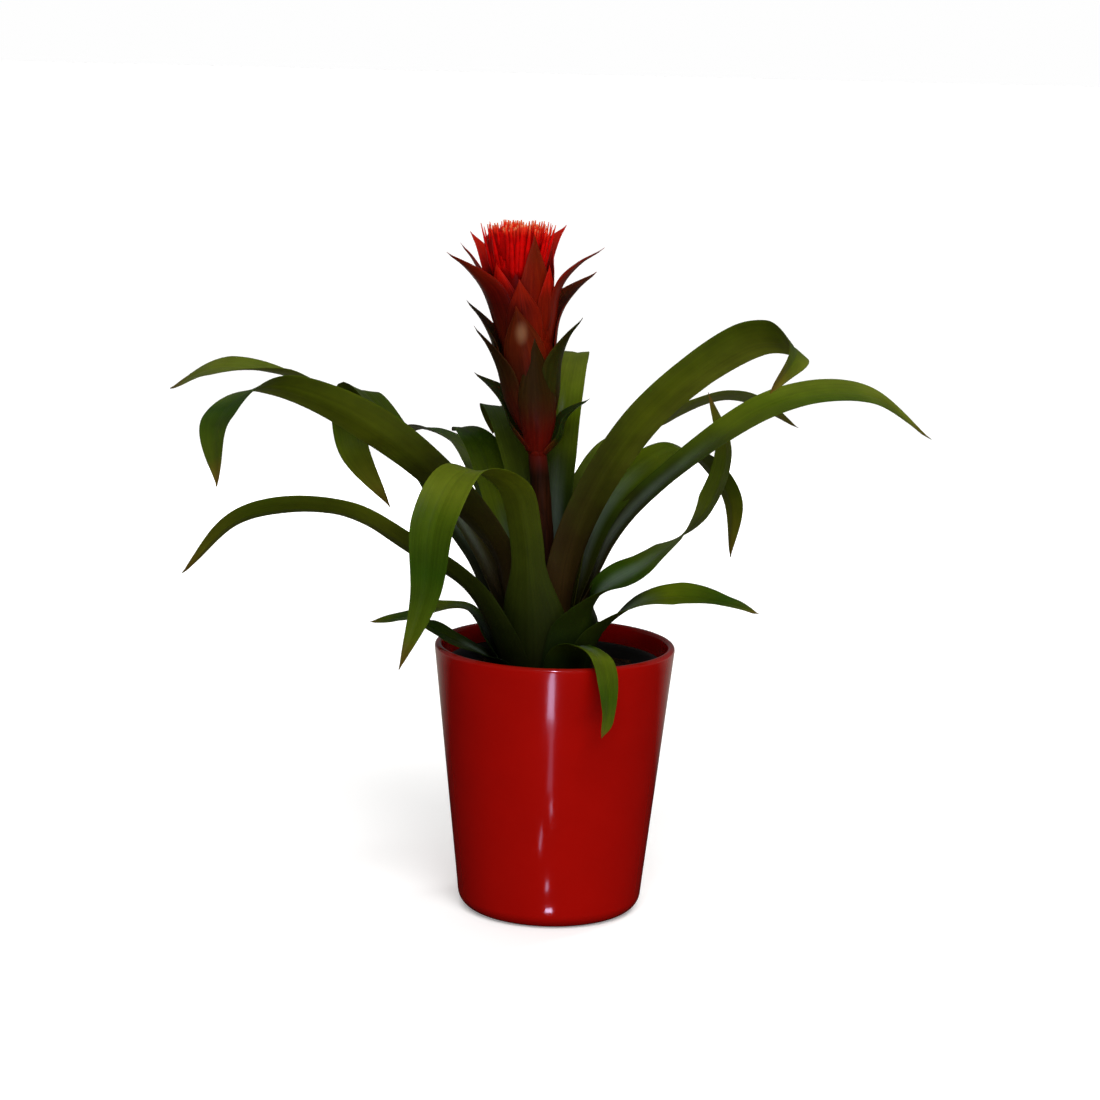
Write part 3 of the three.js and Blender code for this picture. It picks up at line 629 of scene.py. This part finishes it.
def bractFinish(add, coords):
    # guzmania bract, grown: thin waxy scale, brown red low on the spike and scarlet at its top, its tip
    # green to olive
    place = readMarks(add, ("across", "along", "tone"))
    where = add("SeparateXYZ", [coords])
    onHead = add("MapRange", {
        "Value": where["Z"], "From Min": (crownZ + head["base"]) * mm,
        "From Max": (crownZ + head["top"]) * mm})
    body = add("ValToRGB", [onHead], (
        (0.0, "#561006"), (0.1, "#5a0e06"), (0.26, "#3e1209"), (0.45, "#371004"), (0.62, "#480f03"),
        (0.8, "#440702"), (0.93, "#620401"), (1.0, "#9c0201")))["Color"]
    # painted light: the right flank of the upper head is a warmer, lighter red, as if lit from the right
    paintedLitFlank = add("MapRange", {
        "Value": where["X"], "From Min": -0.024, "From Max": -0.012, "To Max": 0.75}, **eased)
    upperHalf = add("MapRange", {"Value": onHead, "From Min": 0.42, "From Max": 0.6})
    lit = add("Math", [paintedLitFlank, upperHalf], operation="MULTIPLY")
    body = add("Mix", [lit, body, "#721202"], data_type="RGBA")
    tip = add("ValToRGB", [place["tone"]], (
        (0.0, "#1c2a06"), (0.18, "#2a2206"), (0.3, "#2a1705"), (0.45, "#581a05"), (0.65, "#8c1604"),
        (0.85, "#b40e04"), (1.0, "#b01404")))["Color"]
    drawnOut = [add("Math", [place[name], times], operation="MULTIPLY")
                for name, times in (("across", 9.0), ("along", 2.0), ("tone", 40.0))]
    streaks = add("TexNoise", {"Vector": add("CombineXYZ", drawnOut), "Scale": 1.0, "Detail": 3.0})["Fac"]
    # green runs far down the low bracts and stays at the tip of the red ones
    held = add("MapRange", {"Value": place["tone"], "From Max": 0.6, "To Min": -0.35, "To Max": 0.26})
    reach = add("Math", [add("Math", [streaks, 0.25], operation="MULTIPLY"), held], operation="SUBTRACT")
    nearTip = add("Math", [place["along"], reach], operation="ADD")
    nearTip = add("MapRange", {"Value": nearTip, "From Min": 0.42, "From Max": 0.8}, **eased)
    colour = add("Mix", [nearTip, body, tip], data_type="RGBA")
    shade = add("MapRange", {
        "Value": streaks, "From Min": 0.3, "From Max": 0.7, "To Min": 0.75, "To Max": 1.25})
    colour = add("VectorMath", [colour, shade], operation="SCALE")
    # painted highlight: a pale beige spot on one bract of the head
    highlightPlace = tuple(c * mm for c in head["scar"])
    fromHighlight = add("VectorMath", [coords, highlightPlace], operation="SUBTRACT")
    fromHighlight = add("VectorMath", [fromHighlight, (1.0, 0.4, 0.55)], operation="MULTIPLY")
    scar = add("MapRange", {
        "Value": add("VectorMath", [fromHighlight], operation="LENGTH"),
        "From Min": 0.0005, "From Max": 0.0046, "To Min": 0.7, "To Max": 0.0}, **eased)
    colour = add("Mix", [scar, colour, "#8a5f42"], data_type="RGBA")
    bump = add("Bump", {"Height": streaks, "Strength": 0.4, "Distance": 0.0003})
    return {
        "Base Color": colour, "Roughness": 0.42, "IOR": 1.42, "Specular IOR Level": 0.1, "Normal": bump,
        "Subsurface Weight": 0.35, "Subsurface Radius": (1.0, 0.25, 0.1), "Subsurface Scale": 0.003}


bractMaterial = newMaterial("guzmaniaBract", bractFinish)


def headCoreRadius(up):
    return along(head["radii"], (up - head["base"]) / (head["top"] - head["base"]))


# bracts of the head round a slim core
guides = []
for i, (turn, tipOut, tipUp, length, width, tone) in enumerate(head["bracts"]):
    foot = tipUp - length
    footRadius = max(head["footLeast"], headCoreRadius(max(foot, head["base"])) - head["footSink"])
    belly = min(head["bellyMost"], head["belly"] + head["bellyStep"] * i)
    guides.append(bractGuide(turn, foot, footRadius, belly, tipOut, tipUp, width, tone))
bracts = meshThroughTree("headBracts", guideObject("headGuides", guides), bladeTree, {
    "Along": head["steps"], "Around": head["around"], "Thickness": head["thickness"] * mm, "Ripple": 0.0004,
    "Ripples": head["ripples"], "Groove Depth": 0.0004, "Surface": bractMaterial})
coreRings = [[up, headCoreRadius(up)] for up in range(head["base"], head["top"] + 1, head["coreRing"])]
core = stalkBody("headCore", coreRings, stalk["sides"], head["coreStep"])
core.data.materials.append(bractMaterial)
coreTone = [head["coreTone"]] * len(core.data.vertices)
core.data.attributes.new("tone", "FLOAT", "POINT").data.foreach_set("value", coreTone)
flowerHead = joinMeshes("flowerHead", [bracts, core])
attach(flowerHead, "root")
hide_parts("flower_head")
print("flower head made,", len(guides), "bracts")


def stalkFinish(add, coords):
    # guzmania scape, grown: a woody green stalk flushed brown red, satin
    stretched = add("Mapping", {"Vector": coords, "Scale": (900.0, 900.0, 60.0)})
    lines = add("TexNoise", {"Vector": stretched, "Scale": 1.0, "Detail": 3.0})["Fac"]
    clouds = add("TexNoise", {"Vector": coords, "Scale": 70.0, "Detail": 2.0})["Fac"]
    share = add("Math", [lines, clouds], operation="MULTIPLY")
    share = add("MapRange", {"Value": share, "From Min": 0.12, "From Max": 0.4})
    colour = add("Mix", [share, "#150802", "#2b1205"], data_type="RGBA")
    # redder where it enters the head
    nearHead = add("MapRange", {
        "Value": add("SeparateXYZ", [coords])["Z"], "From Min": (crownZ + head["base"] - 10) * mm,
        "From Max": (crownZ + head["base"] + 4) * mm}, **eased)
    colour = add("Mix", [nearHead, colour, "#460d06"], data_type="RGBA")
    bump = add("Bump", {"Height": lines, "Strength": 0.4, "Distance": 0.0004})
    return {
        "Base Color": colour, "Roughness": 0.5, "IOR": 1.42, "Specular IOR Level": 0.12, "Normal": bump}


stalkMaterial = newMaterial("guzmaniaScape", stalkFinish)
guides = []
for i in range(1, stalk["bracts"] + 1):
    tipUp = stalk["firstTip"] - stalk["bractStep"] * i
    guides.append(bractGuide(
        stalk["firstTurn"] - goldenAngle * i, tipUp - stalk["bractLength"], stalk["bractFoot"],
        stalk["bractBelly"], stalk["bractFlare"] - stalk["flareStep"] * i, tipUp, stalk["bractWidth"],
        stalk["toneStep"] * i))
bracts = meshThroughTree("stalkBracts", guideObject("stalkGuides", guides), bladeTree, {
    "Along": head["steps"], "Around": head["around"], "Thickness": head["thickness"] * mm, "Ripple": 0.0002,
    "Ripples": head["ripples"], "Groove Depth": 0.0003, "Surface": stalkMaterial})
scape = stalkBody("scape", stalk["rings"], stalk["sides"], stalk["ringStep"], stalk["wobble"])
scape.data.materials.append(stalkMaterial)
flowerStalk = joinMeshes("flowerStalk", [scape, bracts])
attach(flowerStalk, "root")
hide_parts("flower_stalk")
print("stalk made")

brush = {
    "count": 150, "base": 212, "top": 242, "radius": 13.2, "lean": 10.5, "bractWidth": 4.4, "bractDepth": 2.4,
    "sides": 7, "steps": 6, "moundRings": [[220.6, 13], [227, 14.8], [233, 14.8], [236, 13.4], [237.5, 8]],
    "moundStep": 2,
}


def brushFinish(add, coords):
    # inner guzmania bracts, grown: scarlet, satin, with tips bleached to pale orange
    tip = add("Attribute", attribute_name="along")["Fac"]
    ramp = add("ValToRGB", [tip], (
        (0.0, "#9c0201"), (0.4, "#b80301"), (0.8, "#c20402"), (0.95, "#c62a12"), (1.0, "#d07a54")))["Color"]
    clouds = add("TexNoise", {"Vector": coords, "Scale": 220.0, "Detail": 2.0})["Fac"]
    shade = add("MapRange", {
        "Value": clouds, "From Min": 0.3, "From Max": 0.7, "To Min": 0.75, "To Max": 1.2})
    return {
        "Base Color": add("VectorMath", [ramp, shade], operation="SCALE"), "Roughness": 0.45, "IOR": 1.42,
        "Specular IOR Level": 0.08, "Subsurface Weight": 0.4, "Subsurface Radius": (1.0, 0.25, 0.1),
        "Subsurface Scale": 0.003}


def makeBrushTree():
    # narrow pointed bracts packed by the golden angle on a low dome, fanned outward
    tree, add, given = newGeometryTree("floretBrush", {
        "Mound": "Geometry", "Count": 84, "Radius": 0.0125, "Lean": 0.26, "Height": 0.0213, "Width": 0.0046,
        "Depth": 0.0024, "Sides": 7, "Steps": 5, "Middle": (0, 0, 0), "Seed": 4, "Surface": "Material"})
    cone = add("MeshCone", {
        "Vertices": given["Sides"], "Side Segments": given["Steps"], "Radius Top": 0.06, "Radius Bottom": 0.5,
        "Depth": 1.0}, fill_type="NGON")["Mesh"]
    height = add("SeparateXYZ", [add("InputPosition")])["Z"]
    cone = add("StoreNamedAttribute", {"Geometry": cone, "Name": "along", "Value": height})
    swell = add("MapRange", {
        "Value": height, "From Min": 0.0, "From Max": 0.55, "To Min": 0.75, "To Max": 1.35}, **eased)
    bellied = add("VectorMath", [add("InputPosition"), add("CombineXYZ", [swell, swell, 1.0])],
                  operation="MULTIPLY")
    cone = add("SetPosition", {"Geometry": cone, "Position": bellied})

    points = add("MeshLine", {"Count": given["Count"]})
    index = add("InputIndex")
    share = add("Math", [add("Math", [index, 0.5], operation="ADD"), given["Count"]], operation="DIVIDE")
    share = add("Math", [share], operation="SQRT")
    turn = add("Math", [index, math.radians(goldenAngle)], operation="MULTIPLY")
    away = add("Math", [share, given["Radius"]], operation="MULTIPLY")
    spot = add("VectorRotate", {"Vector": add("CombineXYZ", [away]), "Angle": turn}, rotation_type="Z_AXIS")
    spot = add("VectorMath", [spot, given["Middle"]], operation="ADD")
    points = add("SetPosition", {"Geometry": points, "Position": spot})
    jitter = add("RandomValue", {"Min": -0.09, "Max": 0.09, "Seed": given["Seed"]})
    lean = add("Math", [add("Math", [share, given["Lean"]], operation="MULTIPLY"), jitter], operation="ADD")
    turned = add("EulerToRotation", [add("CombineXYZ", {"Y": lean, "Z": turn})])
    uneven = add("RandomValue", {"Min": 0.86, "Max": 1.0, "Seed": 11})
    tall = add("Math", [uneven, given["Height"]], operation="MULTIPLY")
    spikes = add("InstanceOnPoints", {
        "Points": points, "Instance": cone, "Rotation": turned,
        "Scale": add("CombineXYZ", [given["Depth"], given["Width"], tall])})
    spikes = add("RealizeInstances", {"Geometry": spikes})
    whole = add("JoinGeometry", {"Geometry": [spikes, given["Mound"]]})
    whole = add("SetShadeSmooth", {"Geometry": whole})
    whole = add("SetMaterial", {"Geometry": whole, "Material": given["Surface"]})
    add("NodeGroupOutput", {"Result": whole})
    return tree


mound = stalkBody("mound", brush["moundRings"], stalk["sides"], brush["moundStep"])
floretBrush = meshThroughTree("floretBrush", mound, makeBrushTree(), {
    "Count": brush["count"], "Radius": brush["radius"] * mm, "Lean": math.radians(brush["lean"]),
    "Height": (brush["top"] - brush["base"]) * mm, "Width": brush["bractWidth"] * mm,
    "Depth": brush["bractDepth"] * mm, "Sides": brush["sides"], "Steps": brush["steps"],
    "Middle": stalkAt(brush["base"]) * mm, "Surface": newMaterial("guzmaniaInnerBract", brushFinish)})
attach(floretBrush, "root")
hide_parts("floret_brush")
print("brush made,", brush["count"], "inner bracts")


def turnedMesh(name, profile, sides, ripple=None):
    # turns radius, height pairs about the pot's axis; the profile starts and ends on the axis
    verts, rings = [], []
    for radius, height in profile:
        if radius == 0:
            rings.append([len(verts)])
            verts.append((0, 0, height))
            continue
        rings.append(range(len(verts), len(verts) + sides))
        for j in range(sides):
            angle = 2 * math.pi * j / sides
            spot = Vector((radius * math.cos(angle), radius * math.sin(angle), height))
            verts.append(ripple(spot) if ripple else spot)
    faces = []
    for low, high in zip(rings, rings[1:]):
        for j in range(sides):
            k = (j + 1) % sides
            if len(low) == 1:
                faces.append((low[0], high[k], high[j]))
            elif len(high) == 1:
                faces.append((low[j], low[k], high[0]))
            else:
                faces.append((low[j], low[k], high[k], high[j]))
    mesh = newMesh(name, verts, [], faces)
    mesh.shade_smooth()
    return placeObject(name, mesh)


def arc(middle, radius, start, end, steps):
    # points of radius, height on an arc between two angles
    turns = [math.radians(mix(start, end, i / steps)) for i in range(steps + 1)]
    return [(middle[0] + radius * math.cos(t), middle[1] + radius * math.sin(t)) for t in turns]


def glazeFinish(add, coords):
    # red lead-free glaze on slip-cast earthenware, dipped and fired: wet gloss over one deep even red
    clouds = add("TexNoise", {"Vector": coords, "Scale": 40.0, "Detail": 4.0})["Fac"]
    colour = add("Mix", [clouds, "#8e0602", "#9a0803"], data_type="RGBA")
    # the glaze runs thin over the rim's edge, where the body darkens it
    atRim = add("MapRange", {
        "Value": add("SeparateXYZ", [coords])["Z"], "From Min": (pot["height"] - 2.2) * mm,
        "From Max": (pot["height"] - 0.2) * mm}, **eased)
    thin = add("Math", [atRim, clouds], operation="MULTIPLY")
    colour = add("Mix", [thin, colour, "#5a0d06"], data_type="RGBA")
    slow = add("TexNoise", {"Vector": coords, "Scale": 28.0, "Detail": 2.0})["Fac"]
    bump = add("Bump", {"Height": slow, "Strength": 0.12, "Distance": 0.002})
    return {
        "Base Color": colour, "Roughness": 0.14, "IOR": 1.5, "Specular IOR Level": 0.4, "Normal": bump,
        "Coat Weight": 0.3, "Coat Roughness": 0.05}


def bisqueFinish(add, coords):
    # unglazed earthenware on the foot, wiped before firing: matte buff clay
    grains = add("TexNoise", {"Vector": coords, "Scale": 900.0, "Detail": 4.0})["Fac"]
    colour = add("Mix", [grains, "#b9a184", "#d8c6a8"], data_type="RGBA")
    bump = add("Bump", {"Height": grains, "Strength": 0.5, "Distance": 0.0003})
    return {"Base Color": colour, "Roughness": 0.85, "Normal": bump}


# cachepot: tapered wall, rounded foot, rolled rim
def wallAt(height):
    return mix(pot["footRadius"], pot["rimRadius"], height / pot["height"])


rounding, lip, floorTop, inner = pot["footRounding"], pot["wall"] / 2, pot["floor"], pot["floorRounding"]
profile = [(0, pot["footRecess"]), (pot["footRing"] - pot["ringSlope"], pot["footRecess"]),
           (pot["footRing"], 0.2), (pot["footRing"] + pot["ringEdge"], 0)]
profile += arc((wallAt(rounding) - rounding, rounding), rounding, -90, -6, 14)
profile += [(wallAt(z), z) for z in range(rounding + 5, pot["height"] - 4, 4)]
profile += arc((wallAt(pot["height"] - lip) - lip, pot["height"] - lip), lip, -4, 176, 14)
profile += [(wallAt(z) - pot["wall"], z) for z in range(pot["height"] - 6, floorTop + rounding, -6)]
profile += arc((wallAt(floorTop + inner) - pot["wall"] - inner, floorTop + inner), inner, -4, -90, 6)
profile += [(30, floorTop), (0, floorTop)]
cachepot = turnedMesh("redCachepot", profile, pot["sides"])
cachepot.data.materials.append(newMaterial("redGlazedEarthenware", glazeFinish))
cachepot.data.materials.append(newMaterial("bisqueFoot", bisqueFinish))
for face in cachepot.data.polygons:
    fromAxis = math.hypot(face.center.x, face.center.y)
    if face.center.z < pot["bareHeight"] * mm and fromAxis < pot["bareRadius"] * mm:
        face.material_index = 1
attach(cachepot, "root")
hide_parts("cachepot")
print("cachepot made")


def nurseryPlasticFinish(add, coords):
    # recycled polypropylene, thermoformed: dark grey, dull, faintly streaked
    grains = add("TexNoise", {"Vector": coords, "Scale": 600.0, "Detail": 3.0})["Fac"]
    dust = add("TexNoise", {"Vector": coords, "Scale": 45.0, "Detail": 4.0})["Fac"]
    colour = add("Mix", [dust, "#131314", "#2a2826"], data_type="RGBA")
    bump = add("Bump", {"Height": grains, "Strength": 0.25, "Distance": 0.0002})
    rough = add("MapRange", {"Value": dust, "To Min": 0.42, "To Max": 0.7})
    return {"Base Color": colour, "Roughness": rough, "IOR": 1.49, "Normal": bump}


# nursery pot: thin tapered shell with a rolled rim, drain holes cut through its floor
rimFoot = nurseryRimZ - nurseryPot["rimDepth"]
rimOut = nurseryPot["topRadius"] + nurseryPot["lip"]
innerTop = nurseryPot["topRadius"] - nurseryPot["wall"]
innerFoot = nurseryPot["footRadius"] - nurseryPot["wall"]
insideFoot = nurseryFootZ + nurseryPot["wall"]


def nurseryWall(height):
    return mix(nurseryPot["footRadius"], nurseryPot["topRadius"],
               (height - nurseryFootZ) / (rimFoot - 1 - nurseryFootZ))


def nurseryInside(height):
    return mix(innerTop, innerFoot, (nurseryRimZ - height) / (nurseryRimZ - insideFoot))


profile = [(0, nurseryFootZ), (20, nurseryFootZ), (nurseryPot["footRadius"] - 1.5, nurseryFootZ)]
profile += [(nurseryPot["footRadius"] - 0.4, nurseryFootZ + 0.4),
            (nurseryPot["footRadius"] + 0.2, nurseryFootZ + 2)]
profile += [(nurseryWall(z), z) for z in range(14, 128, 8)]
profile += [(nurseryPot["topRadius"], rimFoot - 1), (rimOut - 0.3, rimFoot), (rimOut, rimFoot + 0.5)]
profile += arc((rimOut - 0.6, nurseryRimZ - 0.6), 0.6, 0, 90, 5)
profile += [(innerTop + 0.4, nurseryRimZ), (innerTop, nurseryRimZ - 0.4), (innerTop - 0.2, nurseryRimZ - 3)]
profile += [(nurseryInside(z), z) for z in range(126, 14, -8)]
profile += [(innerFoot - 0.5, insideFoot + 0.5), (30, insideFoot), (0, insideFoot)]
nursery = turnedMesh("nurseryShell", profile, nurseryPot["sides"])
nursery.data.materials.append(newMaterial("thermoformedPolypropylene", nurseryPlasticFinish))
drillProfile = [(0, nurseryPot["drillFrom"]), (nurseryPot["holeRadius"], nurseryPot["drillFrom"]),
                (nurseryPot["holeRadius"], nurseryPot["drillTo"]), (0, nurseryPot["drillTo"])]
for i in range(nurseryPot["holes"]):
    out, side = compass(360 / nurseryPot["holes"] * i)
    drill = turnedMesh("drill", drillProfile, nurseryPot["holeSides"])
    place = out * nurseryPot["holeRing"] + Vector((0, 0, nurseryFootZ))
    drill.data.transform(Matrix.Translation(place * mm))
    cut = nursery.modifiers.new("drainHole", "BOOLEAN")
    cut.object = drill
    cut.operation = "DIFFERENCE"
    cut.solver = "EXACT"
    bpy.context.view_layer.update()
    cutMesh = bpy.data.meshes.new_from_object(nursery.evaluated_get(bpy.context.evaluated_depsgraph_get()))
    nursery.modifiers.clear()
    nursery.data = cutMesh
    bpy.data.objects.remove(drill)
nursery.name = "nurseryPot"
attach(nursery, "root")
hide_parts("grower_pot")
print("nursery pot made")

soil = {
    "rough": 1.3, "roughEnds": 56, "roughFull": 50, "lumps": 0.11, "heap": 1.4, "heapEnds": 34,
    "heapFull": 20, "edgeDrop": 2.2, "edgeFrom": 46, "edge": 55, "sides": 120,
    "chips": 90000, "chipSmall": 0.9, "chipLarge": 3.0, "seed": 7,
}


def soilFinish(add, coords, dark, light, rough):
    # damp potting mix of peat and composted bark: near black crumbs with brown fibres
    crumbs = add("TexNoise", {"Vector": coords, "Scale": 420.0, "Detail": 5.0})["Fac"]
    patches = add("TexNoise", {"Vector": coords, "Scale": 90.0, "Detail": 2.0})["Fac"]
    share = add("Math", [crumbs, patches], operation="MULTIPLY")
    share = add("MapRange", {"Value": share, "From Min": 0.1, "From Max": 0.45})
    colour = add("Mix", [share, dark, light], data_type="RGBA")
    bump = add("Bump", {"Height": crumbs, "Strength": 0.8, "Distance": 0.0008})
    return {
        "Base Color": colour, "Roughness": rough, "Specular IOR Level": 0.12, "Normal": bump}


def makeChipTree():
    # bark chips strewn over the upward faces of the mix
    tree, add, given = newGeometryTree("barkChips", {
        "Mix": "Geometry", "Density": 90000.0, "Small": 0.001, "Large": 0.003, "Seed": 7,
        "Mix Surface": "Material", "Chip Surface": "Material"})
    upward = add("SeparateXYZ", [add("InputNormal")["Normal"]])["Z"]
    level = add("SeparateXYZ", [add("InputPosition")])["Z"]
    onTop = add("BooleanMath", [
        add("Compare", [value, least], operation="GREATER_THAN")
        for value, least in ((upward, 0.6), (level, (soilZ - 8) * mm))], operation="AND")
    points = add("DistributePointsOnFaces", {
        "Mesh": given["Mix"], "Selection": onTop, "Density": given["Density"],
        "Seed": given["Seed"]})["Points"]
    chip = add("MeshIcoSphere", {"Radius": 1.0, "Subdivisions": 1})["Mesh"]
    shape = add("RandomValue", {"Min": (0.35, 0.3, 0.22), "Max": (1.0, 0.8, 0.45), "Seed": 3},
                data_type="FLOAT_VECTOR")
    grow = add("RandomValue", {"Min": given["Small"], "Max": given["Large"], "Seed": 5})
    turn = add("RandomValue", {"Min": (-0.7, -0.7, 0.0), "Max": (0.7, 0.7, 6.28), "Seed": 9},
               data_type="FLOAT_VECTOR")
    chips = add("InstanceOnPoints", {
        "Points": points, "Instance": chip, "Rotation": add("EulerToRotation", [turn]),
        "Scale": add("VectorMath", [shape, grow], operation="SCALE")})
    chips = add("RealizeInstances", {"Geometry": chips})
    # corners pushed about, so that no chip is round
    jag = add("TexNoise", {"Vector": add("InputPosition"), "Scale": 500.0})["Color"]
    jag = add("VectorMath", [jag, (0.5, 0.5, 0.5)], operation="SUBTRACT")
    jag = add("VectorMath", [jag, 0.0016], operation="SCALE")
    chips = add("SetPosition", {"Geometry": chips, "Offset": jag})
    chips = add("SetMaterial", {"Geometry": chips, "Material": given["Chip Surface"]})
    ground = add("SetMaterial", {"Geometry": given["Mix"], "Material": given["Mix Surface"]})
    add("NodeGroupOutput", {"Result": add("JoinGeometry", {"Geometry": [ground, chips]})})
    return tree


def roughen(spot):
    # uneven top of the mix, a little heaped round the crown
    if spot.z < soilZ - 4:
        return spot
    fromStem = math.hypot(spot.x - crown["x"], spot.y)
    heap = soil["heap"] * smoothStep(soil["heapEnds"], soil["heapFull"], fromStem)
    lumps = soil["rough"] * noise.fractal(spot * soil["lumps"], 1.0, 2.0, 4)
    inside = smoothStep(soil["roughEnds"], soil["roughFull"], math.hypot(spot.x, spot.y))
    return spot + Vector((0, 0, heap + lumps * inside))


def mixEdge(height):
    return nurseryInside(height) - crown["seatGap"]


profile = [(0, insideFoot + crown["seatGap"]), (mixEdge(insideFoot), insideFoot + crown["seatGap"])]
profile += [(mixEdge(z), z) for z in range(20, 124, 12)]
profile += [(mixEdge(soilZ - 3), soilZ - 3)]
profile += [(r, soilZ - soil["edgeDrop"] * smoothStep(soil["edgeFrom"], soil["edge"], r))
            for r in range(soil["edge"], 1, -1)]
profile += [(0, soilZ)]
ground = turnedMesh("pottingGround", profile, soil["sides"], roughen)
pottingMix = meshThroughTree("pottingMix", ground, makeChipTree(), {
    "Density": float(soil["chips"]), "Small": soil["chipSmall"] * mm, "Large": soil["chipLarge"] * mm,
    "Seed": soil["seed"], "Mix Surface": newMaterial("dampPeat", soilFinish, "#0a0705", "#2a1b10", 0.95),
    "Chip Surface": newMaterial("compostedBark", soilFinish, "#120b07", "#3b2616", 0.85)})
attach(pottingMix, "root")
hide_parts("soil")
print("potting mix made")

# pale floor in a room that is light behind the plant and dim behind the camera; in metres
studio = {
    "floorSize": 60, "floor": "#fbfaf9", "floorClouds": "#f6f6f5", "floorGlow": 0.2,
    "floorInBounce": "#8a867e", "floorInGloss": "#15110f", "farFloorInGloss": "#8a867e",
    "backdrop": "#fefefe", "wallLight": 0.47, "wallInGloss": 0.13, "frontInGloss": 0.03,
    "sun": {"from": (0.12, -0.9, 0.95), "strength": 2.35, "spread": 40},
    # soft lamps: at, aim, size, power
    "lamps": {
        "window": [(0.9, 0.7, 1.3), (0.05, 0, 0.25), (0.3, 0.7), 5],
        "backCard": [(-0.4, 1.5, 0.3), (0, 0, 0.22), (1.6, 0.5), 9],
        "reflectorCard": [(0.25, -1.1, 0.12), (0, 0, 0.25), (1.2, 0.3), 5],
        "glintRim": [(0, -0.62, 0.62), (0, 0, 0.15), (0.06, 0.14), 2.4],
    },
    # small lamps that face up, seen only as glints in the glaze: at, size, power
    "glintColour": "#dcd2ff",
    "glints": {
        "glintHigh": [(-0.01, -0.42, 0.03), (0.026, 0.36), 0.3],
        "glintMiddle": [(-0.004, -0.2, 0.03), (0.012, 0.1), 0.005],
        "glintDot": [(0.001, -0.178, 0.004), (0.005, 0.012), 0.002],
        "glintBend": [(-0.022, -0.139, 0.004), (0.003, 0.022), 0.0014],
        "glintLow": [(-0.003, -0.092, 0.002), (0.004, 0.01), 0.0009],
        "glintFoot": [(0, -0.066, 0.002), (0.006, 0.005), 0.0018],
    },
}


def floorFinish(add, coords):
    # matte floor paint, rolled on: pale and even to the eye, and darker to bounced light
    ray = add("LightPath")
    clouds = add("TexNoise", {"Vector": coords, "Scale": 3.0, "Detail": 2.0})["Fac"]
    seen = add("Mix", [clouds, studio["floor"], studio["floorClouds"]], data_type="RGBA")
    colour = add("Mix", [ray["Is Camera Ray"], studio["floorInBounce"], seen], data_type="RGBA")
    far = add("MapRange", {"Value": add("SeparateXYZ", [coords])["Y"], "From Min": 0.2, "From Max": 0.45})
    mirrored = add("Mix", [far, studio["floorInGloss"], studio["farFloorInGloss"]], data_type="RGBA")
    colour = add("Mix", [ray["Is Glossy Ray"], colour, mirrored], data_type="RGBA")
    glow = add("Math", [ray["Is Camera Ray"], studio["floorGlow"]], operation="MULTIPLY")
    return {
        "Base Color": colour, "Roughness": 0.9, "Specular IOR Level": 0.1, "Emission Color": (1, 1, 1, 1),
        "Emission Strength": glow}


def makeFloor():
    bpy.ops.mesh.primitive_plane_add(size=studio["floorSize"])
    floor = bpy.context.object
    floor.name = "floor"
    floor.data.materials.append(newMaterial("paintedFloor", floorFinish))


def makeRoom():
    world = bpy.data.worlds.new("paleRoom")
    world.use_nodes = True
    world.node_tree.nodes.clear()
    add = partial(addNode, world.node_tree)
    ray = add("LightPath")
    behind = add("SeparateXYZ", [add("TexCoord")["Generated"]])["Y"]
    inGloss = add("MapRange", {
        "Value": behind, "From Min": -0.35, "From Max": 0.25, "To Min": studio["frontInGloss"],
        "To Max": studio["wallInGloss"]}, **eased)
    light = add("Mix", [ray["Is Glossy Ray"], studio["wallLight"], inGloss])
    room = add("Background", {"Strength": light})
    seen = add("Background", {"Color": studio["backdrop"]})
    add("OutputWorld", {"Surface": add("MixShader", [ray["Is Camera Ray"], room, seen])})
    bpy.context.scene.world = world


def addLamp(name, at, aim, size, power):
    light = bpy.data.lights.new(name, "AREA")
    light.shape = "RECTANGLE"
    light.size, light.size_y = size
    light.energy = power
    holder = placeObject(name, light)
    holder.location = at
    holder.rotation_euler = (Vector(aim) - Vector(at)).to_track_quat("-Z", "Y").to_euler()
    holder.visible_camera = False
    isGlint = name.startswith("glint")
    holder.visible_diffuse = not isGlint
    holder.visible_glossy = isGlint
    if isGlint:
        light.color = linearColour(studio["glintColour"])[:3]


def makeLights():
    sun = bpy.data.lights.new("softKey", "SUN")
    sun.energy = studio["sun"]["strength"]
    sun.angle = math.radians(studio["sun"]["spread"])
    holder = placeObject("softKey", sun)
    holder.rotation_euler = Vector(studio["sun"]["from"]).to_track_quat("Z", "Y").to_euler()
    holder.visible_glossy = False
    for name, lamp in studio["lamps"].items():
        addLamp(name, *lamp)
    for name, (at, size, power) in studio["glints"].items():
        addLamp(name, at, (at[0], at[1], 1.0), size, power)


view = {
    "distance": 1501.8, "elevation": 10.51, "roll": 1.37, "target": (-3.82, 0, 196.76),
    "focalPixels": 2800, "framePixels": 1100, "sensor": 36,
}


def makeCamera():
    rise, roll = math.radians(view["elevation"]), math.radians(view["roll"])
    back = Vector((0, -math.cos(rise), math.sin(rise)))
    right = Vector((1, 0, 0))
    up = back.cross(right)
    x = right * math.cos(roll) + up * math.sin(roll)
    y = up * math.cos(roll) - right * math.sin(roll)
    data = bpy.data.cameras.new("camera")
    data.sensor_width = view["sensor"]
    data.lens = view["focalPixels"] / view["framePixels"] * view["sensor"]
    camera = placeObject("camera", data)
    spot = (Vector(view["target"]) + back * view["distance"]) * mm
    camera.matrix_world = Matrix.Translation(spot) @ Matrix((x, y, back)).transposed().to_4x4()
    bpy.context.scene.camera = camera


makeFloor()
makeRoom()
makeLights()
makeCamera()
bpy.context.scene.view_settings.view_transform = "Standard"
print("studio ready")
